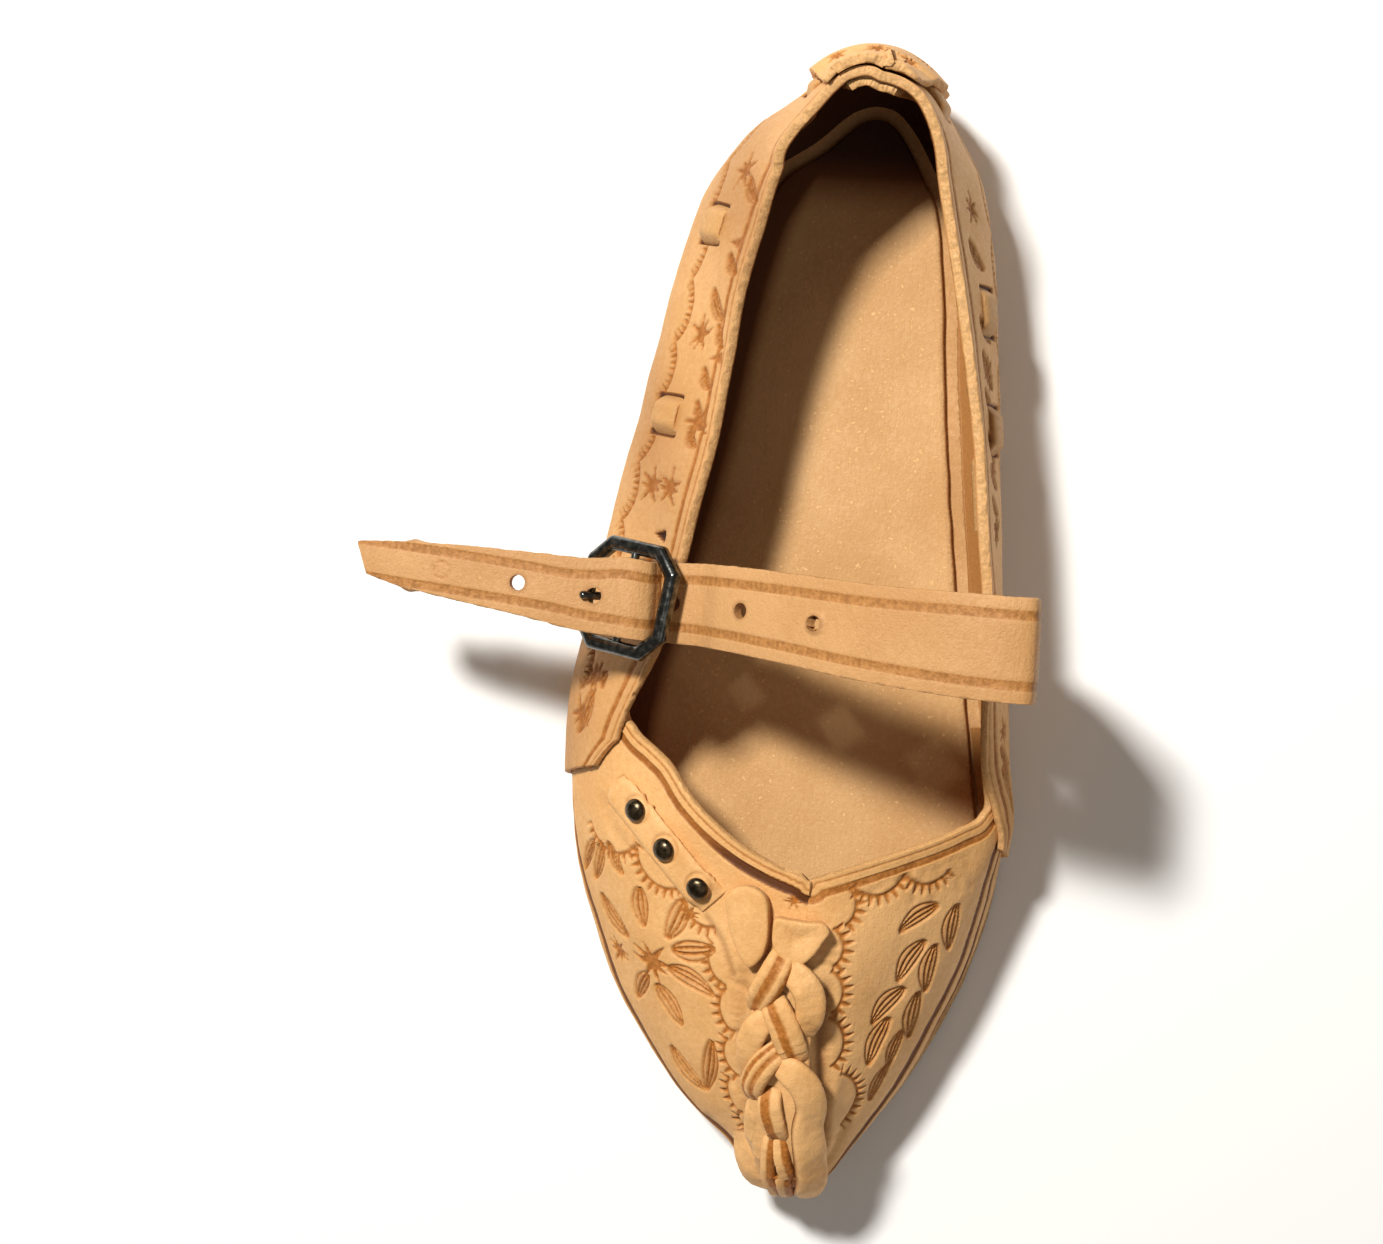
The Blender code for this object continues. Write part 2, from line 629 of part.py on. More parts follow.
def tube_between(bm, start, end, radius, sides, end_radius=None):
    """A round bar from start to end, both in millimetres."""
    start, end = Vector(place(start)), Vector(place(end))
    span = end - start
    made = bmesh.ops.create_cone(
        bm, cap_ends=True, segments=sides, radius1=radius * MM,
        radius2=(radius if end_radius is None else end_radius) * MM, depth=span.length)
    turn = span.to_track_quat("Z", "Y").to_matrix().to_4x4()
    bmesh.ops.transform(bm, matrix=turn, verts=made["verts"])
    bmesh.ops.translate(bm, vec=(start + end) / 2, verts=made["verts"])


class Buckle:
    """Place of the buckle: the middle of its pin and its three directions."""

    def __init__(self):
        over = strap_place(STRAP_OVER_PIN)
        drop = PIN_DIAMETER / 2 + SEAT + TAB_THICKNESS + GAP + STRAP_THICKNESS / 2
        slope, turn = math.radians(BUCKLE_SLOPE), math.radians(BUCKLE_TURN)
        self.middle = over - np.array((0.0, 0.0, drop + STRAP_CLEARANCE))
        self.out = np.array((-math.cos(slope) * math.cos(turn), -math.sin(turn) * math.cos(slope),
                             -math.sin(slope)))
        self.side = np.array((-math.sin(turn), math.cos(turn), 0.0))
        self.up = np.cross(self.side, self.out)
        self.window = STRAP_WIDTH + BUCKLE_PLAY

    def at(self, out, side, up):
        return self.middle + self.out * out + self.side * side + self.up * up


def make_buckle(finish):
    """A cut-cornered frame with a pin across its middle."""
    buckle = Buckle()
    half_length, half_width = BUCKLE_LENGTH / 2, buckle.window / 2 + BUCKLE_BAR

    def octagon(inset):
        length, width = half_length - inset, half_width - inset
        cut = BUCKLE_CORNER - inset * (2 - math.sqrt(2))
        quarter = ((length, width - cut), (length - cut, width))
        ring = list(quarter)
        ring += [(-x, y) for x, y in reversed(quarter)]
        ring += [(-x, -y) for x, y in quarter]
        ring += [(x, -y) for x, y in reversed(quarter)]
        return ring

    half, shoulder = BUCKLE_THICKNESS / 2, BUCKLE_THICKNESS / 2 - BUCKLE_CHAMFER
    profile = ((0.0, -half), (0.0, shoulder), (BUCKLE_CHAMFER, half),
               (BUCKLE_BAR - BUCKLE_CHAMFER, half), (BUCKLE_BAR, shoulder), (BUCKLE_BAR, -half))
    bm = bmesh.new()
    rings = []
    for inset, up in profile:
        points = [buckle.at(x, y, up) for x, y in octagon(inset)]
        rings.append([bm.verts.new(Vector(p)) for p in place(points)])
    for one, two in zip(rings, rings[1:] + rings[:1]):
        for i in range(8):
            k = (i + 1) % 8
            bm.faces.new((one[i], one[k], two[k], two[i]))
    frame = new_object("buckle_frame", bm, finish)
    pin = bmesh.new()
    reach = half_width - BUCKLE_BAR / 2
    tube_between(pin, buckle.at(0, -reach, 0), buckle.at(0, reach, 0), PIN_DIAMETER / 2, 10)
    boolean(frame, cutter(new_object("buckle_pin", pin, None)), "UNION")
    return frame


def make_prong(finish):
    """A tongue that turns on the pin and comes up through the strap's hole."""
    buckle = Buckle()
    hole = strap_place(STRAP_PRONG_HOLE)
    ring = bmesh.new()
    outer = PIN_DIAMETER / 2 + GAP + PRONG_DIAMETER * 0.62
    tube_between(ring, buckle.at(0, -PRONG_DIAMETER / 2, 0), buckle.at(0, PRONG_DIAMETER / 2, 0),
                 outer, 14)
    prong = new_object("buckle_prong", ring, finish)
    rise = hole - buckle.middle
    rise /= np.linalg.norm(rise)
    arm = bmesh.new()
    start = buckle.middle + rise * (PIN_DIAMETER / 2 + GAP + PRONG_DIAMETER / 4)
    tip = hole + rise * PRONG_TIP_REACH
    tube_between(arm, start, tip, PRONG_DIAMETER / 2, 10, PRONG_DIAMETER * 0.36)
    boolean(prong, cutter(new_object("prong_arm", arm, None)), "UNION")
    bore = bmesh.new()
    reach = PRONG_DIAMETER * 1.5
    tube_between(bore, buckle.at(0, -reach, 0), buckle.at(0, reach, 0), PIN_DIAMETER / 2 + GAP, 12)
    boolean(prong, cutter(new_object("prong_bore", bore, None)), "DIFFERENCE")
    return prong


def tab_line():
    """The buckle's leather tab: out of the wall, round the pin and back in."""
    buckle, form = Buckle(), LAST_FORM
    radius = PIN_DIAMETER / 2 + SEAT + TAB_THICKNESS / 2
    walk = form.walk_at(-1, buckle.middle[1] / LENGTH)
    outside = form.lifted(walk, TAB_HEIGHT, QUARTER_LIFT + TAB_THICKNESS * 1.5)
    inside = form.lifted(walk, TAB_HEIGHT, QUARTER_LIFT - QUARTER_WALL - TAB_THICKNESS * 2.5)
    inside += buckle.side * np.dot(buckle.middle - inside, buckle.side)
    outside += buckle.side * np.dot(buckle.middle - outside, buckle.side)
    down = outside - buckle.middle
    down /= np.linalg.norm(down)
    across = np.cross(down, buckle.side)
    away = outside - inside
    away /= np.linalg.norm(away)
    sideways = np.cross(away, buckle.side)
    if np.dot(sideways, across) < 0:
        sideways = -sideways
    offset = TAB_THICKNESS / 2 + GAP / 2
    arc = [buckle.middle - down * radius * math.cos(angle) + across * radius * math.sin(angle)
           for angle in np.radians((100, 60, 20, -20, -60, -100))]
    first = [inside + sideways * offset, (inside + outside) / 2 + sideways * offset,
             outside + sideways * offset]
    second = [outside - sideways * offset, (inside + outside) / 2 - sideways * offset,
              inside - sideways * offset]
    mid_one = (first[-1] + arc[0]) / 2
    mid_two = (second[0] + arc[-1]) / 2
    return np.array(first + [mid_one] + arc + [mid_two] + second)


def make_tab(finish):
    line = tab_line()
    buckle = Buckle()
    side = np.tile(buckle.side, (len(line), 1))
    tab = new_object("buckle_tab", ribbon_mesh(line, side, TAB_WIDTH, TAB_THICKNESS), finish)
    slit = bmesh.new()
    hole = strap_place(STRAP_PRONG_HOLE)
    rise = hole - buckle.middle
    rise /= np.linalg.norm(rise)
    width = PRONG_DIAMETER * 1.25 + 2 * GAP
    corners = []
    lift = np.cross(rise, buckle.side)
    reach, half = TAB_SLIT_HALF
    for forward in (-reach, reach):
        for sideways in (-width / 2, width / 2):
            for upward in (-half, half):
                corners.append(buckle.middle + rise * forward + buckle.side * sideways
                               + lift * upward)
    verts = [slit.verts.new(Vector(p)) for p in place(corners)]
    for loop in ((0, 1, 3, 2), (4, 5, 7, 6), (0, 1, 5, 4), (2, 3, 7, 6), (0, 2, 6, 4),
                 (1, 3, 7, 5)):
        slit.faces.new([verts[i] for i in loop])
    boolean(tab, cutter(new_object("tab_slit", slit, None)), "DIFFERENCE")
    return tab


class OnVamp:
    """Places on the vamp's outer face, found by looking for its nearest point."""

    def __init__(self, tree):
        self.tree = tree

    def drop(self, along, across, lift):
        """A point over the vamp at a place seen from above."""
        start = Vector(place((across, along, 200.0)))
        spot, normal, _, _ = self.tree.ray_cast(start, Vector((0, 0, -1)))
        return self._raised(spot, normal, lift)

    def near(self, point, lift):
        spot, normal, _, _ = self.tree.find_nearest(Vector(place(point)))
        return self._raised(spot, normal, lift)

    def _raised(self, spot, normal, lift):
        if normal.z < 0:
            normal = -normal
        point = np.array(spot) / MM
        return np.array((point[0], HEEL_SET - point[1], point[2])) + np.array(
            (normal.x, -normal.y, normal.z)) * lift


def make_stud_strip(on_vamp, finish):
    """A flat strip along the outer arm of the throat, under the studs."""
    start = np.array(STUD_STRIP_START) * (LENGTH, BALL_WIDTH)
    end = np.array(STUD_STRIP_END) * (LENGTH, BALL_WIDTH)
    direction = (end - start) / np.linalg.norm(end - start)
    sideways = np.array((-direction[1], direction[0]))
    rows = []
    for share in np.linspace(0.0, 1.0, STRIP_STEPS):
        half = STUD_STRIP_WIDTH / 2
        if share == 0.0:
            half *= 0.6
        middle = start + (end - start) * share
        rows.append([middle + sideways * half * step for step in (-1.0, 0.0, 1.0)])
    top = [[on_vamp.drop(p[0], p[1], STRIP_SEAT + STUD_STRIP_THICKNESS) for p in row]
           for row in rows]
    low = [[on_vamp.drop(p[0], p[1], STRIP_SEAT) for p in row] for row in rows]
    return new_object("stud_strip", shell_mesh(np.array(top), np.array(low)), finish)


def make_stud(on_vamp, index, finish):
    """A small domed stud clenched through the strip."""
    along, across = np.array(STUDS[index]) * (LENGTH, BALL_WIDTH)
    seat = STRIP_SEAT + STUD_STRIP_THICKNESS + SEAT
    low = on_vamp.drop(along, across, seat)
    high = on_vamp.drop(along, across, seat + 1.0)
    normal = (high - low) / np.linalg.norm(high - low)
    one = np.cross(normal, (0.0, 1.0, 0.0))
    one /= np.linalg.norm(one)
    two = np.cross(normal, one)
    radius = STUD_DIAMETER / 2
    profile = ((1.0, 0.0), (1.0, 0.25), (0.86, 0.62), (0.55, 0.88))
    sides = 14
    bm = bmesh.new()
    rings = []
    for wide, tall in profile:
        angles = np.arange(sides) * 2 * math.pi / sides
        ring = [low + normal * STUD_HEIGHT * tall
                + (one * math.cos(a) + two * math.sin(a)) * radius * wide for a in angles]
        rings.append([bm.verts.new(Vector(p)) for p in place(ring)])
    for lower, upper in zip(rings, rings[1:]):
        for i in range(sides):
            k = (i + 1) % sides
            bm.faces.new((lower[i], lower[k], upper[k], upper[i]))
    bm.faces.new(rings[0])
    peak = bm.verts.new(Vector(place(low + normal * STUD_HEIGHT)))
    for i in range(sides):
        bm.faces.new((rings[-1][i], rings[-1][(i + 1) % sides], peak))
    return new_object("stud_%d" % (index + 1), bm, finish)


def braid_path(count):
    """The middle of the plait: along the crown, then over the toe and down its front."""
    form = LAST_FORM
    crown = form.crown[(form.crown[:, 0] >= BRAID_START * LENGTH)
                       & (form.crown[:, 0] <= CROWN_END * LENGTH)]
    top = np.stack((crown[:, 1], crown[:, 0], crown[:, 2] + sole_top(crown[:, 0])), -1)
    front = form.points(np.full(20, form.walk[-1]), np.linspace(TOP, BRAID_FRONT, 20))
    line = np.vstack((top, front[1:]))
    walk = np.concatenate(([0.0], np.cumsum(np.linalg.norm(np.diff(line, axis=0), axis=1))))
    places = np.linspace(0.0, walk[-1], count)
    return np.stack([np.interp(places, walk, line[:, i]) for i in range(3)], -1), places


def braid_height(run, across, length):
    """Height of the plait: strips that cross by turns from one side to the other."""
    body = BRAID_BODY * math.sqrt(max(0.0, 1 - across**2))
    step = length / BRAID_CROSSINGS
    best = 0.0
    for i in range(-1, BRAID_CROSSINGS + 1):
        sign = 1 if i % 2 else -1
        forward = run / step - (i + 0.5)
        sideways = across - BRAID_OFFSET * sign
        lean = BRAID_LEAN * sign
        one = forward - sideways * lean
        two = sideways * 1.25 + forward * lean / 3
        best = max(best, 1 - (one * one + two * two))
    return BRAID_HEIGHT * min(1.0, body + BRAID_STRIP * math.sqrt(max(0.0, best)))


def make_braid(on_vamp, finish):
    """The plait along the toe seam, as one body with its strips raised."""
    line, places = braid_path(BRAID_STEPS)
    top, low = [], []
    for i in range(BRAID_STEPS):
        turn = math.pi * (0.14 + 0.86 * i / (BRAID_STEPS - 1))
        half = BRAID_WIDTH / 2 * (1 - BRAID_TAPER + BRAID_TAPER * math.sin(turn))
        high_row, low_row = [], []
        for share in np.linspace(-1.0, 1.0, BRAID_WIDE_STEPS):
            point = line[i] + np.array((share * half, 0.0, 0.0))
            rise = BRAID_BASE + braid_height(places[i], share, places[-1]) * 0.9
            high_row.append(on_vamp.near(point, SEAT + rise))
            low_row.append(on_vamp.near(point, SEAT))
        top.append(high_row)
        low.append(low_row)
    return new_object("braid", shell_mesh(np.array(top), np.array(low)), finish, 60.0)


def make_loop(on_vamp, name, row, finish):
    """One turned end of the plait's strips, a low rounded pad on the vamp."""
    along, across, half_long, half_wide, heading, tall = row
    along, across, heading = along * LENGTH, across * BALL_WIDTH, math.radians(heading)
    spokes, rings = 16, ((1.0, 0.35), (0.92, 0.75), (0.6, 1.0))
    bm = bmesh.new()

    def spot(share, angle, lift):
        long, wide = math.cos(angle) * half_long * share, math.sin(angle) * half_wide * share
        return on_vamp.drop(along + long * math.cos(heading) - wide * math.sin(heading),
                            across + long * math.sin(heading) + wide * math.cos(heading), lift)

    layers = []
    angles = [2 * math.pi * i / spokes for i in range(spokes)]
    for share, lift in ((0.94, 0.0),) + rings:
        points = [spot(share, angle, SEAT + tall * lift) for angle in angles]
        layers.append([bm.verts.new(Vector(p)) for p in place(points)])
    for lower, upper in zip(layers, layers[1:]):
        for i in range(spokes):
            k = (i + 1) % spokes
            bm.faces.new((lower[i], lower[k], upper[k], upper[i]))
    for layer, lift in ((layers[0], 0.0), (layers[-1], 1.0)):
        middle = bm.verts.new(Vector(place(spot(0.0, 0.0, SEAT + tall * lift))))
        for i in range(spokes):
            bm.faces.new((layer[i], layer[(i + 1) % spokes], middle))
    return new_object(name, bm, finish)


def build():
    for old in list(bpy.data.objects):
        bpy.data.objects.remove(old)
    form = LAST_FORM
    tan = material("upper_leather", (0.74, 0.45, 0.22), 0.6)
    sole_tan = material("sole_leather", (0.66, 0.40, 0.20), 0.7)
    insole_tan = material("insole_leather", (0.72, 0.44, 0.22), 0.65)
    strap_tan = material("strap_leather", (0.72, 0.44, 0.22), 0.6)
    dark_metal = material("dark_metal", (0.05, 0.05, 0.05), 0.25, 1.0)
    bronze = material("stud_bronze", (0.08, 0.07, 0.05), 0.3, 1.0)

    sole_body("outsole", lambda last: last.sole, sole_rise, sole_top, SOLE_EDGE_ROUND, sole_tan)
    inside_feather = UPPER_WALL + GAP
    sole_body("insole", lambda last: last.tuck + inside_feather,
              lambda along: sole_top(along) + GAP,
              lambda along: sole_top(along) + GAP + INSOLE_THICKNESS, INSOLE_EDGE_ROUND,
              insole_tan)

    upper = make_quarter(tan)
    vamp, tree = make_vamp()
    boolean(upper, vamp, "UNION")
    lap_walks = np.linspace(form.walk_at(-1, LAP_OUTER), form.walk_at(1, LAP_INNER), LAP_STEPS)
    lap_lift = np.full(LAP_STEPS, QUARTER_LIFT - QUARTER_WALL)
    lap = wall_band(lap_walks, np.linspace(LAP_LOW, LAP_HIGH, 6), lap_lift + LAP_BITE,
                    lap_lift - LAP_THICKNESS)
    boolean(upper, cutter(new_object("lap", lap, None)), "UNION")

    walks, lift, crossings = thong_route()
    thong = new_object("heel_thong", thong_band(walks, lift, 0.0), strap_tan)
    for number, crossing in enumerate(crossings):
        near = np.abs(walks - crossing) < THONG_RAMP * 0.51
        slot = thong_band(walks[near], lift[near], GAP)
        boolean(upper, cutter(new_object("thong_slot_%d" % number, slot, None)), "DIFFERENCE")

    patch_walks = np.linspace(form.walk_at(-1, PATCH_OUTER), form.walk_at(1, PATCH_INNER),
                              PATCH_STEPS)
    patch_lift = np.full(PATCH_STEPS, QUARTER_LIFT + SEAT + THONG_THICKNESS + SEAT)
    patch = wall_band(patch_walks, np.linspace(PATCH_LOW, PATCH_HIGH, 7),
                      patch_lift + PATCH_THICKNESS, patch_lift)
    new_object("heel_patch", patch, tan)

    strap = new_object("ankle_strap", strap_mesh(0.0), strap_tan)
    slot = cutter(new_object("strap_slot", strap_mesh(GAP, 0, STRAP_STEPS // 6), None))
    boolean(upper, slot, "DIFFERENCE")
    for number in range(-STRAP_HOLES_INNER, STRAP_HOLES_OUTER + 1):
        spot = strap_place(STRAP_PRONG_HOLE - number * HOLE_STEP / BALL_WIDTH)
        rise, radius = np.array((0.0, 0.0, 1.0)), STRAP_HOLE / 2
        if number == 0:
            rise = spot - Buckle().middle
            rise /= np.linalg.norm(rise)
            radius = PRONG_DIAMETER / 2 + 2 * GAP
        hole = bmesh.new()
        reach = rise * STRAP_THICKNESS * 2
        tube_between(hole, spot - reach, spot + reach, radius, 12)
        name = "strap_hole_%d" % (number + STRAP_HOLES_INNER)
        boolean(strap, cutter(new_object(name, hole, None)), "DIFFERENCE")

    make_buckle(dark_metal)
    make_prong(dark_metal)
    make_tab(strap_tan)
    line = tab_line()
    middle = (line[:3] + line[::-1][:3]) / 2
    side = np.tile(Buckle().side, (len(middle), 1))
    slot = ribbon_mesh(middle, side, TAB_WIDTH + 2 * GAP, 2 * TAB_THICKNESS + 3 * GAP)
    boolean(upper, cutter(new_object("tab_slot", slot, None)), "DIFFERENCE")

    on_vamp = OnVamp(tree)
    make_stud_strip(on_vamp, tan)
    for index in range(len(STUDS)):
        make_stud(on_vamp, index, bronze)
    make_braid(on_vamp, tan)
    make_loop(on_vamp, "braid_loop_outer", LOOP_OUTER, tan)
    make_loop(on_vamp, "braid_loop_inner", LOOP_INNER, tan)


build()
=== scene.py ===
"""Looks of the leather moccasin, right foot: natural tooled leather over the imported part.

Frame: metres, +Z up, floor at z = 0, toe towards -Y, outer side of the foot towards -X.
The leather is laid out in millimetres as across, along the foot from the heel's back, and
height, and turned into metres when its mesh is made.
"""

import math

import bpy
import numpy as np
from mathutils import Matrix, Vector
from mathutils.bvhtree import BVHTree


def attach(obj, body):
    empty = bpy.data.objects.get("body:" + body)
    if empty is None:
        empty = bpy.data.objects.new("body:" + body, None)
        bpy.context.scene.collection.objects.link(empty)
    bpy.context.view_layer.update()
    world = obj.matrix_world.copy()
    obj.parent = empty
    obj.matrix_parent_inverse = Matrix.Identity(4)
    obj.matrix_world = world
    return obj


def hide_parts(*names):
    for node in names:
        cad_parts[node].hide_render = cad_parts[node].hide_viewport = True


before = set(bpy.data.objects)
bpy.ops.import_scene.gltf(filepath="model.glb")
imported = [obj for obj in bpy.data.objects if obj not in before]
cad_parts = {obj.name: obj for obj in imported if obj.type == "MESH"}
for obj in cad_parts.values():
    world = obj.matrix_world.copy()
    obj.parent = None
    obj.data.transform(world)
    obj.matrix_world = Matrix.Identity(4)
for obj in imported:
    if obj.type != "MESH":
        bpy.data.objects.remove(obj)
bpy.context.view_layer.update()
bpy.ops.object.select_all(action="DESELECT")


# Outsole: one flat sole of firm tanned leather, cut to the last and glued under the
# upper. Its pale cut edge shows past the upper at the toe and along the inner side.
LENGTH = 243.0
BALL_WIDTH = 94.0
HEEL_HEIGHT = 50.0
INSTEP_HEIGHT = 40.0
HEEL_SET = 32.0
ARCH_RISE = 1.6
ARCH_FROM, ARCH_TO = 0.25, 0.60
TOE_SPRING = 6.0
SPRING_FROM = 0.755
ROUND_FROM, ROUND_OVER = 0.45, 0.17
SOLE_THICKNESS = 3.0
SOLE_EDGE = 0.9
SOLE_ROWS = 260
SOLE_SHARP_ANGLE = 40.0
GAP = 0.3

# The last's wall: along, across, bulge, tuck, lean, rim, sole
LAST = (
    (0.984, -0.004, 0.11, 0.020, 0.026, 0.22, 0.000),
    (0.974, -0.098, 0.12, 0.020, 0.040, 0.25, 0.000),
    (0.951, -0.145, 0.13, 0.022, 0.058, 0.30, -0.004),
    (0.930, -0.213, 0.14, 0.026, 0.085, 0.36, -0.008),
    (0.866, -0.361, 0.15, 0.034, 0.122, 0.44, -0.010),
    (0.781, -0.480, 0.16, 0.044, 0.144, 0.51, -0.008),
    (0.693, -0.549, 0.17, 0.056, 0.149, 0.55, 0.006),
    (0.605, -0.570, 0.19, 0.070, 0.145, 0.54, 0.020),
    (0.474, -0.519, 0.24, 0.085, 0.195, 0.68, 0.036),
    (0.329, -0.445, 0.27, 0.090, 0.197, 0.75, 0.043),
    (0.209, -0.389, 0.28, 0.085, 0.186, 0.78, 0.040),
    (0.122, -0.326, 0.28, 0.078, 0.170, 0.83, 0.034),
    (0.079, -0.259, 0.28, 0.072, 0.144, 0.87, 0.030),
    (0.042, -0.137, 0.28, 0.068, 0.090, 0.94, 0.028),
    (0.015, -0.049, 0.28, 0.064, 0.080, 0.98, 0.026),
    (0.007, 0.043, 0.28, 0.064, 0.077, 1.00, 0.026),
    (0.016, 0.109, 0.28, 0.064, 0.077, 0.99, 0.026),
    (0.042, 0.173, 0.28, 0.066, 0.045, 0.96, 0.028),
    (0.068, 0.217, 0.28, 0.070, 0.048, 0.92, 0.030),
    (0.105, 0.268, 0.28, 0.074, 0.072, 0.86, 0.034),
    (0.165, 0.300, 0.28, 0.080, 0.069, 0.81, 0.040),
    (0.276, 0.330, 0.27, 0.084, 0.044, 0.77, 0.043),
    (0.449, 0.369, 0.24, 0.068, 0.018, 0.72, 0.036),
    (0.605, 0.414, 0.19, 0.052, 0.045, 0.57, 0.018),
    (0.658, 0.428, 0.17, 0.046, 0.036, 0.50, 0.006),
    (0.713, 0.412, 0.16, 0.042, 0.072, 0.51, -0.004),
    (0.758, 0.384, 0.16, 0.038, 0.085, 0.50, -0.008),
    (0.849, 0.291, 0.15, 0.032, 0.090, 0.45, -0.010),
    (0.909, 0.202, 0.14, 0.026, 0.074, 0.38, -0.008),
    (0.948, 0.130, 0.13, 0.022, 0.053, 0.31, -0.004),
    (0.973, 0.086, 0.12, 0.020, 0.037, 0.25, 0.000),
)

# The crown, where the vamp's halves meet: along, across, height
CROWN = (
    (0.00, 0.032, 1.70),
    (0.51, 0.032, 1.30),
    (0.62, 0.028, 1.13),
    (0.70, 0.021, 1.00),
    (0.78, 0.011, 0.94),
    (0.84, 0.000, 0.85),
    (0.90, -0.002, 0.71),
    (0.935, -0.003, 0.58),
    (0.960, -0.004, 0.45),
)
THROAT = 0.704
CROWN_END = 0.960
FEATHER, BULGE, RIM, TOP = 0.0, 0.45, 1.0, 2.0


def cubic(x, start, end, lead, trail):
    """Places at shares x of a smooth span that leaves along lead and comes in along trail."""
    return ((2 * x**3 - 3 * x**2 + 1) * start + (x**3 - 2 * x**2 + x) * lead
            + (3 * x**2 - 2 * x**3) * end + (x**3 - x**2) * trail)


def smooth_rows(rows, closed, count, key_columns):
    """Points on a smooth curve through a table's rows, spaced by chord length."""
    rows = np.array(rows, float)
    if closed:
        rows = np.vstack((rows[-1:], rows, rows[:2]))
    else:
        rows = np.vstack((2 * rows[0] - rows[1], rows, 2 * rows[-1] - rows[-2]))
    chords = np.linalg.norm(np.diff(rows[:, key_columns], axis=0), axis=1)
    knots = np.concatenate(([0.0], np.cumsum(chords)))
    slopes = np.diff(rows, axis=0) / chords[:, None]
    before, after = chords[:-1, None], chords[1:, None]
    tangents = (slopes[:-1] * after + slopes[1:] * before) / (before + after)
    places = np.linspace(knots[1], knots[-2], count)
    index = np.clip(np.searchsorted(knots, places, side="right") - 1, 1, len(rows) - 3)
    span = chords[index][:, None]
    x = ((places - knots[index])[:, None]) / span
    lead, trail = tangents[index - 1] * span, tangents[index] * span
    return cubic(x, rows[index], rows[index + 1], lead, trail)


def sole_rise(along):
    """Height of the sole's underside off the floor, arched and sprung up at the toe."""
    share = np.asarray(along, float) / LENGTH
    arch = np.clip((share - ARCH_FROM) / (ARCH_TO - ARCH_FROM), 0.0, 1.0)
    spring = np.clip((share - SPRING_FROM) / (1.0 - SPRING_FROM), 0.0, 1.0)
    return ARCH_RISE * np.sin(math.pi * arch) ** 2 + TOE_SPRING * spring**1.7


def sole_top(along):
    return sole_rise(along) + SOLE_THICKNESS


def ease(value):
    """0 below 0, 1 above 1 and a smooth step between."""
    value = np.clip(value, 0.0, 1.0)
    return value * value * (3 - 2 * value)


def unit(vectors):
    return vectors / np.linalg.norm(vectors, axis=-1)[..., None]


